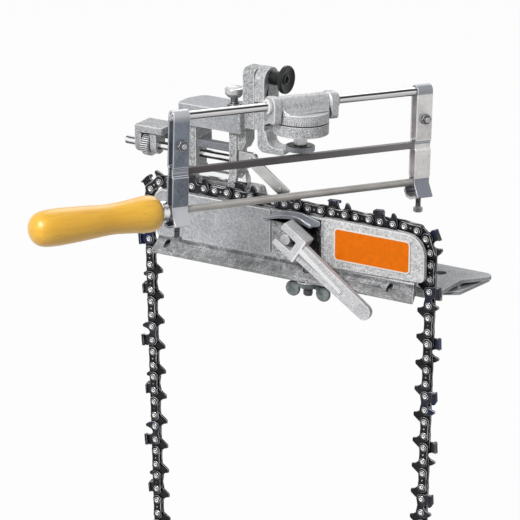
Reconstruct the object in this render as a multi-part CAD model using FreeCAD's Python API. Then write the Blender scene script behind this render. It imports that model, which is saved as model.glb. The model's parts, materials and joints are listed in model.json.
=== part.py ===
import FreeCAD, Part
import math
import os

# Bench-mounted filing fixture for saw chain, in millimetres, +Z up.
# The model is drawn in the rail's own axes: X along the rail, Y to the rear, and Z = 0 on the rivet
# line of the chain's top run. put() then moves every piece so that the origin is the middle of the
# bench foot's screw pattern, on the foot's underside.

Vector = FreeCAD.Vector
Rotation = FreeCAD.Rotation
Placement = FreeCAD.Placement

X_AXIS = Vector(1, 0, 0)
Y_AXIS = Vector(0, 1, 0)
Z_AXIS = Vector(0, 0, 1)

# Bench foot
foot_hole_x = (58.0, 162.0)
foot_hole_y = 40.0
foot_hole_radius = 4.2
seat_z = -52.0
deck_z = -44.0
deck_thickness = 3.0
foot_left_x = 18.0
foot_front_y = 5.5
foot_back_y = 56.5
flange_back_y = 63.5
foot_flange_front_y = 14.0
deck_right_x = 181.2
foot_rib_x = (18.0, 78.0, 138.0, 172.0)
foot_rib = 3.5
deck_step_y = 33.5
foot_boss_radius = 8.0
ORIGIN = Vector(sum(foot_hole_x) / 2, foot_hole_y, seat_z)

# Chain: pitch is half of two rivet pitches, and the loop hangs free under the rail
chain_pitch = 9.525
link_offset = 0.55
drive_link_count = 56
link_thickness = 1.5
strap_gap = 0.05
link_half_height = 4.3
strap_end = 3.95
rivet_radius = 2.2
rivet_half_length = 3.0
tang_depth = 9.6
cutter_height = 8.6
cutter_width = 4.2
chain_phase = 33.0
strand_lean_deg = 1.3

# Rail
rail_left_x = -38.0
rail_right_x = 161.0
left_nose_radius = 14.0
right_nose_radius = 16.0
strap_seat = 4.75
rail_end_x = (-46.4, 171.6)
rail_end_radii = (10.5, 12.5)
groove_half_width = 0.95
groove_depth = 7.0
rail_front_y = -6.0
rail_back_y = 7.0
core_front_y = -3.6
cheek_front_y = -9.0
cheek_back_y = -4.8
cheek_left_x = 95.0
recess_left_x = 52.0
rail_bottom_z = -37.0

# Lower beam of the base
beam_left_x = -40.0
beam_right_x = 172.0
beam_front_y = -16.0
beam_back_y = 8.0
beam_bottom_z = -49.5
beam_wall = 4.0
jig_hole_x = (-30.8, 150.0)
jig_hole_z = -42.5
jig_hole_radius = 2.0

# Chain clamp lever
lever_pin_x = 73.8
lever_pin_z = -18.2
lever_pin_radius = 3.8
lever_back_y = -17.4
lever_front_y = -21.4
lever_length = 80.0
lever_half_width = 6.0
lever_angle_deg = -34.0
lever_rise = 1.4
fork_back_y = -11.0
leaf_peg = (88.0, -8.8)
leaf_peg_radius = 1.8
hub_offset = (1.2, -0.6)
hub_radius = 7.0
hub_back_y = -7.0
running_clearance = 0.05

# Stud and wing nut under the beam
stud_x = 84.2
stud_y = -8.0
stud_radius = 3.5
stud_end_z = -60.6
washer_radius = 8.0
washer_thickness = 1.2
wing_spread = 12.2
wing_radius = 5.5
wing_z = -57.6
wing_thickness = 3.2
nut_hub_z = (-54.8, -51.2)

# Head casting that carries the guide
head_left_x = -33.0
head_right_x = 19.5
head_front_y = 7.2
head_back_y = 34.0
head_top_z = 56.5
head_bottom_z = 41.0
wall_front_y = 12.0
wall_back_y = 26.5
upper_wall_back_y = 31.0
left_wall_x = (-27.0, -20.5)
right_wall_x = (7.0, 13.2)
rib_z = (24.6, 30.0)
guide_bar_y = 20.0
guide_bar_z = 2.5
guide_bar_radius = 6.5
guide_bar_x = (-44.0, 16.4)
eye_radius = 10.0
clamp_screw = (6.2, 20.8)
clamp_screw_radius = 3.0

# Chain stop: spindle, wheel, arm and pawl
spindle_y = 20.0
spindle_z = 18.1
spindle_radius = 3.0
spindle_x = (-84.0, 16.8)
wheel_radius = 8.6
wheel_clearance = 1.0
wheel_x = (-67.6, -61.0)
yoke_left_x = (-73.4, -68.2)
yoke_right_x = (-60.4, -55.4)
yoke_top_z = 32.6
pawl_pivot = (27.3, 24.3)
pawl_y = (6.8, 8.8)
pawl_reach = 37.0
pawl_width = 8.4
pawl_angle_deg = -35.5
pawl_pin_radius = 2.2
pawl_rivet_radius = 1.6
pawl_rivet_inset = 6.5
finger_y = (9.4, 12.4)

# Tilt arm and its pivot
tilt_pivot_y = 23.2
tilt_pivot_z = 80.8
arm_x = (27.2, 35.2)
arm_half_depth = 10.0
arm_top_z = 88.0
arm_foot_z = (28.6, 33.4)
arm_foot_reach_x = 51.0
lug_x = (17.6, 26.9)
lug_top_z = 87.4
pivot_bolt_radius = 4.0
pivot_knob_x = (35.5, 48.6)
pivot_knob_radius = 10.0

# File guide: the swivel axis meets the guide rod here, and the rod points 60 degrees from the rail
guide_origin = Vector(79.9, -10.603, 77.288)
guide_yaw_deg = 60.0
guide_tilt_deg = 2.65
GUIDE = Placement(guide_origin, Rotation(X_AXIS, -guide_tilt_deg) * Rotation(Z_AXIS, guide_yaw_deg))
disc_radius = 19.2
upper_disc_h = (4.6, 12.0)
lower_disc_h = (12.3, 20.5)
swivel_bolt_radius = 4.6
bolt_tip_radius = 2.2
bolt_tip_h = 34.6
lock_knob_h = (29.0, 33.2)
lock_knob_radius = 10.0
sleeve_half_length = 25.0
sleeve_radius = 6.4
sleeve_bore_radius = 4.6
flange_thickness = 5.6
flange_top = 6.6
flange_bottom = 11.6
bushing_out = 2.4
bushing_collar_radius = 5.2

# File frame
rod_radius = 3.0
rod_reach = (-99.3, 101.6)
bracket_s = (-93.2, 95.4)
bracket_width = 12.0
strip = 1.5
flat_file_h = 38.2
flat_file_size = (4.0, 4.6)
round_file_h = 65.0
round_file_radius = 2.6
tang_length = 24.0
tang_radius = 1.8
bracket_bolt_h = 19.2
bracket_bolt_radius = 1.9
bracket_bolt_head = (3.4, 2.0)
bracket_bolt_proud = 4.6
nut_radius = 3.9
nut_thickness = 2.8
bracket_floor = 13.2
file_screw_radius = 2.0
file_screw_head = (3.3, 3.6)
file_screw_drop = 8.8
handle_droop_deg = 1.3

# Small parts
badge_corner = (105.5, -7.2)
badge_size = (60.0, 23.6)
badge_round = 3.4
badge_thickness = 0.8


def put(name, shape):
    """Check a node's solids, move them to the foot's origin and write the STEP file."""
    shape = shape.copy()
    shape.translate(ORIGIN * -1)
    for solid in shape.Solids:
        if not solid.isValid() or solid.Volume <= 0:
            raise ValueError("bad solid in " + name)
    shape.exportStep("parts/" + name + ".step")
    print(name, len(shape.Solids), round(shape.Volume, 1))


def group(shapes):
    return Part.makeCompound(shapes)


def block(x, y, z):
    return Part.makeBox(x[1] - x[0], y[1] - y[0], z[1] - z[0], Vector(x[0], y[0], z[0]))


def rod_between(start, end, radius):
    along = end - start
    return Part.makeCylinder(radius, along.Length, start, along)


def x_rod(x, y, z, radius):
    return rod_between(Vector(x[0], y, z), Vector(x[1], y, z), radius)


def y_rod(x, y, z, radius):
    return rod_between(Vector(x, y[0], z), Vector(x, y[1], z), radius)


def z_rod(x, y, z, radius):
    return rod_between(Vector(x, y, z[0]), Vector(x, y, z[1]), radius)


def rounded_wire(corners):
    """Closed wire through corners (u, v, radius), where each radius rounds its corner."""
    count = len(corners)
    edges = []
    starts = []
    ends = []
    for i, corner in enumerate(corners):
        point = Vector(corner[0], corner[1], 0)
        before = Vector(corners[i - 1][0], corners[i - 1][1], 0)
        after = Vector(corners[(i + 1) % count][0], corners[(i + 1) % count][1], 0)
        radius = corner[2] if len(corner) > 2 else 0
        if radius <= 0:
            starts.append(point)
            ends.append(point)
            continue
        to_before = (before - point).normalize()
        to_after = (after - point).normalize()
        half = to_before.getAngle(to_after) / 2
        reach = radius / math.tan(half)
        bisector = (to_before + to_after).normalize()
        centre = point + bisector * (radius / math.sin(half))
        start = point + to_before * reach
        end = point + to_after * reach
        edges.append(Part.Arc(start, centre - bisector * radius, end).toShape())
        starts.append(start)
        ends.append(end)
    for i in range(count):
        start = ends[i]
        end = starts[(i + 1) % count]
        if start.distanceToPoint(end) > 1e-6:
            edges.append(Part.LineSegment(start, end).toShape())
    return Part.Wire(Part.__sortEdges__(edges))


def plate_xz(corners, y):
    """Extrude an outline drawn in X and Z from y[0] to y[1]."""
    face = Part.Face(rounded_wire(corners))
    face.rotate(Vector(), X_AXIS, 90)
    face.translate(Vector(0, y[1], 0))
    return face.extrude(Vector(0, y[0] - y[1], 0))


def plate_yz(corners, x):
    """Extrude an outline drawn in Y and Z from x[0] to x[1]."""
    face = Part.Face(rounded_wire(corners))
    face.rotate(Vector(), Vector(1, 1, 1), 120)
    face.translate(Vector(x[0], 0, 0))
    return face.extrude(Vector(x[1] - x[0], 0, 0))


def plate_xy(corners, z):
    """Extrude an outline drawn in X and Y from z[0] to z[1]."""
    face = Part.Face(rounded_wire(corners))
    face.translate(Vector(0, 0, z[0]))
    return face.extrude(Vector(0, 0, z[1] - z[0]))


def turned_z(profile, x, y):
    """Revolve a profile of (radius, z) about a vertical axis."""
    points = [Vector(radius, 0, height) for radius, height in profile]
    face = Part.Face(Part.makePolygon(points + points[:1]))
    solid = face.revolve(Vector(), Z_AXIS, 360)
    solid.translate(Vector(x, y, 0))
    return solid


def turned_x(profile, y, z):
    """Revolve a profile of (x, radius) about an axis along X."""
    points = [Vector(x, 0, radius) for x, radius in profile]
    face = Part.Face(Part.makePolygon(points + points[:1]))
    solid = face.revolve(Vector(), X_AXIS, 360)
    solid.translate(Vector(0, y, z))
    return solid


def in_guide(shape):
    """Take a shape from the guide's axes (rod along X, swivel axis along Z) to the rail's."""
    placed = shape.copy()
    placed.Placement = GUIDE.multiply(placed.Placement)
    return placed


def unite(shapes):
    first = shapes[0]
    return first.multiFuse(shapes[1:]).removeSplitter()


class ChainPath:
    """The closed loop that the rivets follow, as a list of straight and round stretches."""

    def __init__(self):
        low = 60.0
        high = 140.0
        target = drive_link_count * 2 * chain_pitch
        for _ in range(50):
            radius = (low + high) / 2
            self.stretches = self.lay_out(radius)
            if sum(length for length, _ in self.stretches) > target:
                low = radius
            else:
                high = radius
        self.length = target

    def lay_out(self, bottom_radius):
        """Stretches for a bottom bend of this radius; a bigger bend sits higher on the strands."""
        lean = math.radians(strand_lean_deg)
        turn = math.pi / 2 + lean
        right = Vector(rail_right_x, 0, -right_nose_radius)
        left = Vector(rail_left_x, 0, -left_nose_radius)
        right_end = right + self.radial(-lean) * right_nose_radius
        left_end = left + self.radial(math.pi + lean) * left_nose_radius
        down = Vector(-math.sin(lean), 0, -math.cos(lean))
        offset_right = right_end + self.radial(math.pi - lean) * bottom_radius
        offset_left = left_end + self.radial(lean) * bottom_radius
        up = Vector(-math.sin(lean), 0, math.cos(lean))
        gap = offset_left - offset_right
        across = down.x * up.z - down.z * up.x
        drop = (gap.x * up.z - gap.z * up.x) / across
        centre = offset_right + down * drop
        climb = (left_end - (centre - self.radial(lean) * bottom_radius)).dot(up)
        bottom_turn = math.pi - 2 * lean
        return [
            (rail_right_x - rail_left_x, ("line", Vector(rail_left_x, 0, 0), X_AXIS)),
            (turn * right_nose_radius, ("arc", right, right_nose_radius, math.pi / 2, -1)),
            (drop, ("line", right_end, down)),
            (bottom_turn * bottom_radius, ("arc", centre, bottom_radius, -lean, -1)),
            (climb, ("line", centre - self.radial(lean) * bottom_radius, up)),
            (turn * left_nose_radius, ("arc", left, left_nose_radius, math.pi + lean, -1)),
        ]

    @staticmethod
    def radial(angle):
        return Vector(math.cos(angle), 0, math.sin(angle))

    def point(self, distance):
        distance = distance % self.length
        for length, stretch in self.stretches:
            if distance <= length:
                break
            distance -= length
        if stretch[0] == "line":
            return stretch[1] + stretch[2] * distance
        centre, radius, start, sense = stretch[1:]
        return centre + self.radial(start + sense * distance / radius) * radius


def link_frame(first, second):
    """Placement with X from one rivet to the next and Z outwards from the loop."""
    along = (second - first).normalize()
    outward = Vector(-along.z, 0, along.x)
    rotation = Rotation(along, Y_AXIS, outward, "ZXY")
    return Placement((first + second) * 0.5, rotation)


def rivet_places():
    """Rivet centres in order; even gaps are within a drive link, odd gaps between two of them."""
    path = ChainPath()
    places = []
    for index in range(drive_link_count):
        start = chain_phase + 2 * chain_pitch * index
        places.append(path.point(start))
        places.append(path.point(start + chain_pitch - link_offset))
    return places


def drive_link():
    """Drive link with its hooked tang, between rivets half a short gap from the middle."""
    half = (chain_pitch - link_offset) / 2
    end = half + link_half_height - 0.2
    corners = [
        (-end, 1.8), (-half, 4.1), (half, 4.1), (end, 1.8), (end, -1.8), (half + 0.4, -4.2),
        (2.0, -tang_depth), (-1.2, -tang_depth), (-1.8, -6.6), (-half - 1.2, -3.6), (-end, -1.8),
    ]
    return plate_xz(corners, (-link_thickness / 2, link_thickness / 2))


def strap_outline():
    """Waisted outline of a tie strap across a long rivet gap."""
    half = (chain_pitch + link_offset) / 2
    end = half + strap_end
    top = link_half_height
    return [
        (-end, -2.0), (-end, 2.0), (-half, top), (half, top), (end, 2.0), (end, -2.0),
        (half, -top), (-half, -top),
    ]


def strap_y(side):
    inner = link_thickness / 2 + strap_gap
    outer = inner + link_thickness
    return (inner, outer) if side > 0 else (-outer, -inner)


def tie_strap(side):
    return plate_xz(strap_outline(), strap_y(side))


def cutter(side):
    """Cutter link: side plate with gullet and depth gauge, and a top plate bent over the chain."""
    half = (chain_pitch + link_offset) / 2
    end = half + strap_end
    top = link_half_height
    side_plate = [
        (-end, -2.0), (-end, 2.4), (-end - 1.0, 4.4), (-end - 0.5, cutter_height - 1.2),
        (-0.9, cutter_height - 0.6),
        (-1.9, 5.6), (-0.4, 2.2), (1.6, 2.0), (3.4, 4.6), (4.4, cutter_height - 0.8),
        (6.2, cutter_height - 0.7), (end, 3.2), (end, -2.0), (half, -top), (-half, -top),
    ]
    body = plate_xz(side_plate, strap_y(side))
    top_plate = [
        (-end - 0.5, cutter_height - 1.5), (-end - 0.5, cutter_height - 0.4), (-0.7, cutter_height),
        (-0.9, cutter_height - 1.5),
    ]
    reach = (-0.4, cutter_width) if side > 0 else (-cutter_width, 0.4)
    return unite([body, plate_xz(top_plate, reach)])


def rivet():
    """Six-sided rivet through a link's plates, with both heads flush and proud of the straps."""
    corners = [(rivet_radius * math.cos(math.radians(a)), rivet_radius * math.sin(math.radians(a)))
               for a in range(0, 360, 60)]
    return plate_xz(corners, (-rivet_half_length, rivet_half_length))


def make_chain():
    """Cutters and tie straps take turns, and left and right cutters take turns too."""
    places = rivet_places()
    count = len(places)
    drives = []
    straps = []
    left_cutters = []
    right_cutters = []
    rivets = []
    drive = drive_link()
    strap = {side: tie_strap(side) for side in (-1, 1)}
    cutters = {side: cutter(side) for side in (-1, 1)}

    def placed(shape, first, second):
        copy = shape.copy()
        copy.Placement = link_frame(first, second).multiply(copy.Placement)
        return copy

    for index in range(drive_link_count):
        first = places[2 * index]
        second = places[2 * index + 1]
        third = places[(2 * index + 2) % count]
        drives.append(placed(drive, first, second))
        rivets.append(placed(rivet(), first, second).translated((first - second) * 0.5))
        rivets.append(placed(rivet(), first, second).translated((second - first) * 0.5))
        turn = index % 4
        if turn == 1:
            left_cutters.append(placed(cutters[1], second, third))
            straps.append(placed(strap[-1], second, third))
        elif turn == 3:
            right_cutters.append(placed(cutters[-1], second, third))
            straps.append(placed(strap[1], second, third))
        else:
            straps.append(placed(strap[1], second, third))
            straps.append(placed(strap[-1], second, third))
    put("drive_links", group(drives))
    put("tie_straps", group(straps))
    put("left_cutters", group(left_cutters))
    put("right_cutters", group(right_cutters))
    put("chain_rivets", group(rivets))


def rail_outline(grow):
    """Side view of the rail with its two rounded noses, grown outwards by a margin."""
    left = rail_end_x[0] - grow
    right = rail_end_x[1] + grow
    return [
        (left, rail_bottom_z, 3), (left, grow - strap_seat, rail_end_radii[0] + grow),
        (right, grow - strap_seat, rail_end_radii[1] + grow), (right, rail_bottom_z, 3),
    ]


def rail():
    """Grooved rail with its thicker left face, recess and raised right cheek."""
    core = plate_xz(rail_outline(0.0), (core_front_y, rail_back_y))
    left_face = plate_xz(
        [(-44.0, -34.0, 3), (-44.0, -strap_seat, 9), (recess_left_x, -strap_seat, 1.5),
         (recess_left_x, rail_bottom_z - 2), (-41.0, rail_bottom_z - 2)],
        (rail_front_y, core_front_y))
    cheek = plate_xz(
        [(cheek_left_x, -2.4, 1.5), (176.0, -2.4, 15), (176.0, -35.5, 4), (105.0, -37.2),
         (cheek_left_x, -34.0)],
        (cheek_front_y, cheek_back_y))
    cheek_web = plate_xz(
        [(cheek_left_x + 1, -strap_seat - 1.5), (171.0, -strap_seat - 1.5, 9), (171.0, -35.0, 3),
         (cheek_left_x + 1, -35.0)],
        (cheek_back_y, core_front_y))
    body = unite([core, left_face, cheek, cheek_web])
    groove_wall = strap_seat + groove_depth
    ring = plate_xz(rail_outline(1.0), (-groove_half_width, groove_half_width))
    inner = plate_xz(
        [(rail_left_x - left_nose_radius + groove_wall, rail_bottom_z - 1),
         (rail_left_x - left_nose_radius + groove_wall, -groove_wall, 2),
         (rail_right_x + right_nose_radius - groove_wall, -groove_wall, 4),
         (rail_right_x + right_nose_radius - groove_wall, rail_bottom_z - 1)],
        (-groove_half_width - 1, groove_half_width + 1))
    return body.cut(ring.cut(inner))


def lower_beam():
    """Beam under the rail: a concave flank that runs out to a thick rim, hollow from below."""
    section = [
        (beam_back_y, beam_bottom_z), (beam_back_y, rail_bottom_z + 1), (rail_front_y, rail_bottom_z + 1),
        (rail_front_y - 1.8, rail_bottom_z - 4.4, 8), (beam_front_y, rail_bottom_z - 9.2, 1.5),
        (beam_front_y, beam_bottom_z, 1.5),
    ]
    beam = plate_yz(section, (beam_left_x, beam_right_x))
    end_trim = plate_xy(
        [(beam_right_x, beam_front_y - 1), (beam_right_x - 11.4, beam_back_y + 1),
         (beam_right_x + 1, beam_back_y + 1), (beam_right_x + 1, beam_front_y - 1)],
        (beam_bottom_z - 1, rail_bottom_z + 2))
    spans = ((beam_left_x + 5, stud_x - 16), (stud_x + 16, beam_right_x - 16))
    inside_y = (beam_front_y + 5, beam_back_y - beam_wall)
    pockets = [block(span, inside_y, (beam_bottom_z - 1, rail_bottom_z - 7)) for span in spans]
    stud_hole = z_rod(stud_x, stud_y, (beam_bottom_z - 1, rail_bottom_z - 3), stud_radius)
    jig_holes = [y_rod(x, (beam_front_y - 1, beam_front_y + 12), jig_hole_z, jig_hole_radius)
                 for x in jig_hole_x]
    return beam.cut(group(pockets + [stud_hole, end_trim] + jig_holes))


def foot():
    """Bench foot: a deck over a lower flange, with ribs between them and two screw bosses."""
    deck = plate_xy(
        [(foot_left_x, foot_front_y), (deck_right_x, foot_front_y), (deck_right_x, deck_step_y, 3),
         (196.0, 52.5, 3), (191.0, foot_back_y, 3), (foot_left_x, foot_back_y, 5)],
        (deck_z - deck_thickness, deck_z))
    flange = plate_xy(
        [(foot_left_x, foot_flange_front_y, 3), (168.0, foot_flange_front_y), (185.5, 25.0, 2),
         (189.5, flange_back_y, 3), (foot_left_x, flange_back_y, 5)],
        (seat_z, seat_z + 3))
    heights = (seat_z + 1, deck_z - 1)
    ribs = [block((x, x + foot_rib), (foot_flange_front_y + 1, foot_back_y - 1), heights)
            for x in foot_rib_x]
    ribs.append(block((foot_rib_x[-1], deck_right_x), (deck_step_y - 3, deck_step_y), heights))
    ribs.append(block((foot_left_x + 1, 187.0), (foot_back_y - 4, foot_back_y - 1), heights))
    ribs.append(block((foot_left_x, deck_right_x), (foot_front_y, foot_front_y + 3), (seat_z + 0.5, deck_z)))
    bosses = [z_rod(x, foot_hole_y, heights, foot_boss_radius) for x in foot_hole_x]
    holes = [z_rod(x, foot_hole_y, (seat_z - 1, deck_z + 1), foot_hole_radius) for x in foot_hole_x]
    return unite([deck, flange] + ribs + bosses).cut(group(holes))


def pedestal():
    """Pillar behind the rail with a half-round saddle for the guide bar."""
    block_shape = plate_xz(
        [(-43.0, deck_z, 4), (-43.0, -1.5, 3), (24.0, -1.5, 3), (38.0, deck_z)],
        (rail_back_y - 1, 33.0))
    hollow = block((-38.0, 18.0), (rail_back_y + 4, 29.0), (deck_z - 1, -10.0))
    saddle = x_rod((-60, 60), guide_bar_y, guide_bar_z, guide_bar_radius)
    return block_shape.cut(group([hollow, saddle]))


def make_base():
    body = unite([rail(), lower_beam(), foot(), pedestal()])
    pin_hole = y_rod(lever_pin_x, (-20, 4), lever_pin_z, lever_pin_radius)
    peg_hole = y_rod(leaf_peg[0], (-20, core_front_y + 2.3), leaf_peg[1], leaf_peg_radius + running_clearance)
    put("base_casting", body.cut(group([pin_hole, peg_hole])))
    bar = x_rod(guide_bar_x, guide_bar_y, guide_bar_z, guide_bar_radius)
    groove = x_rod((13.6, 14.9), guide_bar_y, guide_bar_z, guide_bar_radius + 1).cut(
        x_rod((13.0, 15.5), guide_bar_y, guide_bar_z, guide_bar_radius - 0.8))
    put("guide_bar", bar.cut(groove))
    left, top = badge_corner
    wide, tall = badge_size
    badge = plate_xz(
        [(left, top, badge_round), (left + wide, top, badge_round), (left + wide, top - tall, badge_round),
         (left, top - tall, badge_round)],
        (cheek_front_y - badge_thickness, cheek_front_y))
    put("badge_plate", badge)
    stud = z_rod(stud_x, stud_y, (stud_end_z, rail_bottom_z - 3), stud_radius)
    put("clamp_stud", stud)
    washer = z_rod(stud_x, stud_y, (beam_bottom_z - washer_thickness, beam_bottom_z), washer_radius)
    put("stud_washer", washer.cut(stud))


def make_wing_nut():
    """Wing nut: a conical hub with two round, flat wings that hang below it."""
    low, high = nut_hub_z
    bore_radius = stud_radius + running_clearance
    hub = turned_z([(bore_radius, low), (6.0, low), (7.4, high), (bore_radius, high)], stud_x, stud_y)
    bore = z_rod(stud_x, stud_y, (-70, -40), bore_radius)
    half = wing_thickness / 2
    wings = []
    for side in (-1, 1):
        centre = stud_x + side * wing_spread
        wings.append(y_rod(centre, (stud_y - half, stud_y + half), wing_z, wing_radius))
        inner = stud_x + side * 4.5
        wings.append(plate_xz(
            [(inner, -51.6), (centre - side * 2.0, -52.4), (centre, wing_z + 1.0), (inner, -54.6)],
            (stud_y - half + 0.2, stud_y + half - 0.2)))
    put("wing_nut", unite([hub] + wings).cut(bore))


def make_lever():
    """Cam lever: deep fork about the pin, flat arm with a rib, and an eccentric hub behind the fork."""
    fork = plate_xz(
        [(-7.0, 4.9, 0.5), (-6.8, 10.3, 0.8), (14.0, 10.6, 0.8), (14.0, -9.2, 0.8), (-6.4, -8.8, 0.8),
         (-6.0, -4.4, 0.5), (8.0, -3.6, 0.4), (8.0, 4.6, 0.4)],
        (-lever_rise, fork_back_y - lever_front_y))
    arm = plate_xz(
        [(10.0, -lever_half_width - 0.6), (lever_length, -lever_half_width + 0.4, 5.2),
         (lever_length, lever_half_width - 0.4, 5.2), (10.0, lever_half_width + 1.2)],
        (0, lever_back_y - lever_front_y))
    rib = plate_xz(
        [(12.0, 0.0), (12.0, 4.4), (lever_length * 0.68, 1.0, 0.8), (lever_length * 0.68, -1.2, 0.8)],
        (-lever_rise, 0.2))
    lever = unite([fork, arm, rib])
    lever.rotate(Vector(), Y_AXIS, -lever_angle_deg)
    lever.translate(Vector(lever_pin_x, lever_front_y, lever_pin_z))
    hub = y_rod(lever_pin_x + hub_offset[0], (fork_back_y - 0.6, hub_back_y), lever_pin_z + hub_offset[1],
                hub_radius)
    bore = y_rod(lever_pin_x, (-30, 0), lever_pin_z, lever_pin_radius + running_clearance)
    put("cam_lever", unite([lever, hub]).cut(bore))
    pin = y_rod(lever_pin_x, (lever_front_y - 0.6, 4), lever_pin_z, lever_pin_radius)
    put("lever_pin", pin)
    blade = plate_xz(
        [(47.4, -10.6, 0.4), (54.4, -6.8, 12), (65.0, -2.4, 14), (78.0, -2.0, 14), (93.4, -6.2, 1),
         (93.4, -8.9, 1), (86.0, -12.2, 3), (73.4, -7.4, 18), (60.0, -8.8, 16), (48.0, -11.8, 0.4)],
        (rail_front_y - 2.0, rail_front_y - 0.3))
    lip = plate_xz(
        [(47.4, -10.6, 0.4), (60.0, -6.6, 16), (74.0, -4.8, 18), (86.4, -10.0, 1), (86.0, -12.2, 1),
         (73.4, -7.4, 18), (60.0, -8.8, 16), (48.0, -11.8, 0.4)],
        (rail_front_y - 2.9, rail_front_y - 1.9))
    peg = y_rod(leaf_peg[0], (rail_front_y - 0.5, core_front_y + 2), leaf_peg[1], leaf_peg_radius)
    put("clamp_leaf", unite([blade, lip, peg]))


def make_head():
    """Head casting: hollow box on two walls, eyes on the guide bar, tilt lug and wheel yoke."""
    box = plate_xy(
        [(head_left_x, head_front_y, 3), (head_right_x, head_front_y, 1), (head_right_x, head_back_y, 3),
         (head_left_x + 6, head_back_y, 8), (head_left_x, head_front_y + 14, 8)],
        (head_bottom_z, head_top_z))
    hollow = block((left_wall_x[1] + 1, right_wall_x[0] - 1), (head_front_y + 4, head_back_y - 4),
                   (head_bottom_z - 1, head_top_z - 5))
    walls = []
    for wall in (left_wall_x, right_wall_x):
        walls.append(block(wall, (wall_front_y, wall_back_y), (guide_bar_z, head_bottom_z + 1)))
        walls.append(x_rod(wall, guide_bar_y, guide_bar_z, eye_radius).cut(
            block((-90, 90), (0, 60), (-30, -1.2))))
    walls.append(block(left_wall_x, (wall_front_y, upper_wall_back_y), (rib_z[0], head_bottom_z + 1)))
    rib = block((left_wall_x[1] - 1, right_wall_x[0] + 1), (wall_front_y + 1, wall_front_y + 7), rib_z)
    side = plate_xz(
        [(right_wall_x[1] - 1, head_bottom_z + 1), (right_wall_x[1] - 1, 27.0, 1), (16.5, 27.0, 2),
         (head_right_x, 33.0, 2), (head_right_x, head_bottom_z + 1)],
        (wall_front_y + 2, wall_back_y))
    front = tilt_pivot_y - arm_half_depth
    back = tilt_pivot_y + arm_half_depth
    lug = plate_yz([(front, head_bottom_z + 3), (front, lug_top_z, 4), (back, lug_top_z, 8),
                    (back, head_bottom_z + 3)], lug_x)
    yoke_back_y = (spindle_y + wheel_radius + wheel_clearance, 33.5)
    yoke_back = block((yoke_left_x[0], left_wall_x[1]), yoke_back_y, (spindle_z + 2, yoke_top_z))
    yoke_top = plate_xy(
        [(yoke_left_x[0], 13.5, 2), (yoke_right_x[1] + 5, 13.5, 2), (yoke_right_x[1] + 5, 33.5),
         (yoke_left_x[0], 33.5, 4)],
        (spindle_z + 9.2, yoke_top_z))
    ears = []
    for ear in (yoke_left_x, yoke_right_x):
        ears.append(x_rod(ear, spindle_y, spindle_z, 6.4))
        ears.append(block(ear, (spindle_y - 6.4, spindle_y + 6.4), (spindle_z, yoke_top_z - 1)))
    body = unite([box, side, rib, lug, yoke_back, yoke_top] + walls + ears)
    cuts = [
        hollow,
        x_rod((-90, 30), spindle_y, spindle_z, spindle_radius + running_clearance),
        x_rod((-90, 90), guide_bar_y, guide_bar_z, guide_bar_radius),
        x_rod((0, 40), tilt_pivot_y, tilt_pivot_z, pivot_bolt_radius),
        z_rod(*clamp_screw, (head_top_z - 4.4, head_top_z + 1), clamp_screw_radius),
    ]
    put("head_casting", body.cut(group(cuts)))
    put("pivot_bolt", x_rod((lug_x[0] + 0.6, pivot_knob_x[1] - 2.5), tilt_pivot_y, tilt_pivot_z,
                            pivot_bolt_radius))


def make_thumb_screw():
    """Knurled clamp screw on top of the head, with a collar that stays on the casting."""
    shank = clamp_screw_radius - 0.1
    profile = [(0, head_top_z - 4), (shank, head_top_z - 4), (shank, 63.2), (5.0, 63.2), (6.8, 66.0),
               (6.8, 69.2), (6.2, 70.0), (0, 70.0)]
    put("thumb_screw", turned_z(profile, *clamp_screw))
    bore = clamp_screw_radius
    collar_top = head_top_z + 2.0
    collar = turned_z([(bore, head_top_z), (5.4, head_top_z), (4.6, collar_top), (bore, collar_top)],
                      *clamp_screw)
    put("clamp_collar", collar)


def make_chain_stop():
    """Spindle with its wheel, the arm on its right end, and the pawl that drops on the chain."""
    put("stop_spindle", x_rod(spindle_x, spindle_y, spindle_z, spindle_radius))
    wheel = turned_x([(wheel_x[0], 0), (wheel_x[0], wheel_radius - 0.8), (wheel_x[0] + 0.8, wheel_radius),
                      (wheel_x[1] - 0.8, wheel_radius), (wheel_x[1], wheel_radius - 0.8), (wheel_x[1], 0)],
                     spindle_y, spindle_z)
    put("adjusting_wheel", wheel.cut(x_rod((-90, 0), spindle_y, spindle_z,
                                           spindle_radius + running_clearance)))
    upright = plate_yz(
        [(9.6, 20.0, 1), (9.6, 28.0, 2), (spindle_y + 4.5, 23.0, 3), (spindle_y + 4.5, 13.6, 3),
         (spindle_y - 4.5, 13.6, 2)],
        (spindle_x[1], spindle_x[1] + 3.0))
    finger = plate_xz([(spindle_x[1], 20.0, 0.5), (spindle_x[1], 28.0, 0.5), (pawl_pivot[0] + 4, 28.0, 3.8),
                       (pawl_pivot[0] + 4, 20.4, 3.4)], finger_y)
    put("stop_arm", unite([upright, finger]))
    put("pawl_pin", y_rod(pawl_pivot[0], (pawl_y[0] - 1.0, finger_y[0]), pawl_pivot[1], pawl_pin_radius))
    half = pawl_width / 2
    pawl = plate_xz([(-half, -half, half - 0.1), (-half, half, half - 0.1), (pawl_reach, half, 1.6),
                     (pawl_reach, -half, 2.4)], (0, pawl_y[1] - pawl_y[0]))
    pawl = pawl.cut(y_rod(0, (-5, 5), 0, pawl_pin_radius + running_clearance))
    tip = y_rod(pawl_reach - pawl_rivet_inset, (-0.9, 0), 0, pawl_rivet_radius)
    for name, shape in (("stop_pawl", pawl), ("pawl_rivet", tip)):
        shape = shape.copy()
        shape.rotate(Vector(), Y_AXIS, -pawl_angle_deg)
        shape.translate(Vector(pawl_pivot[0], pawl_y[0], pawl_pivot[1]))
        put(name, shape)


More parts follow.
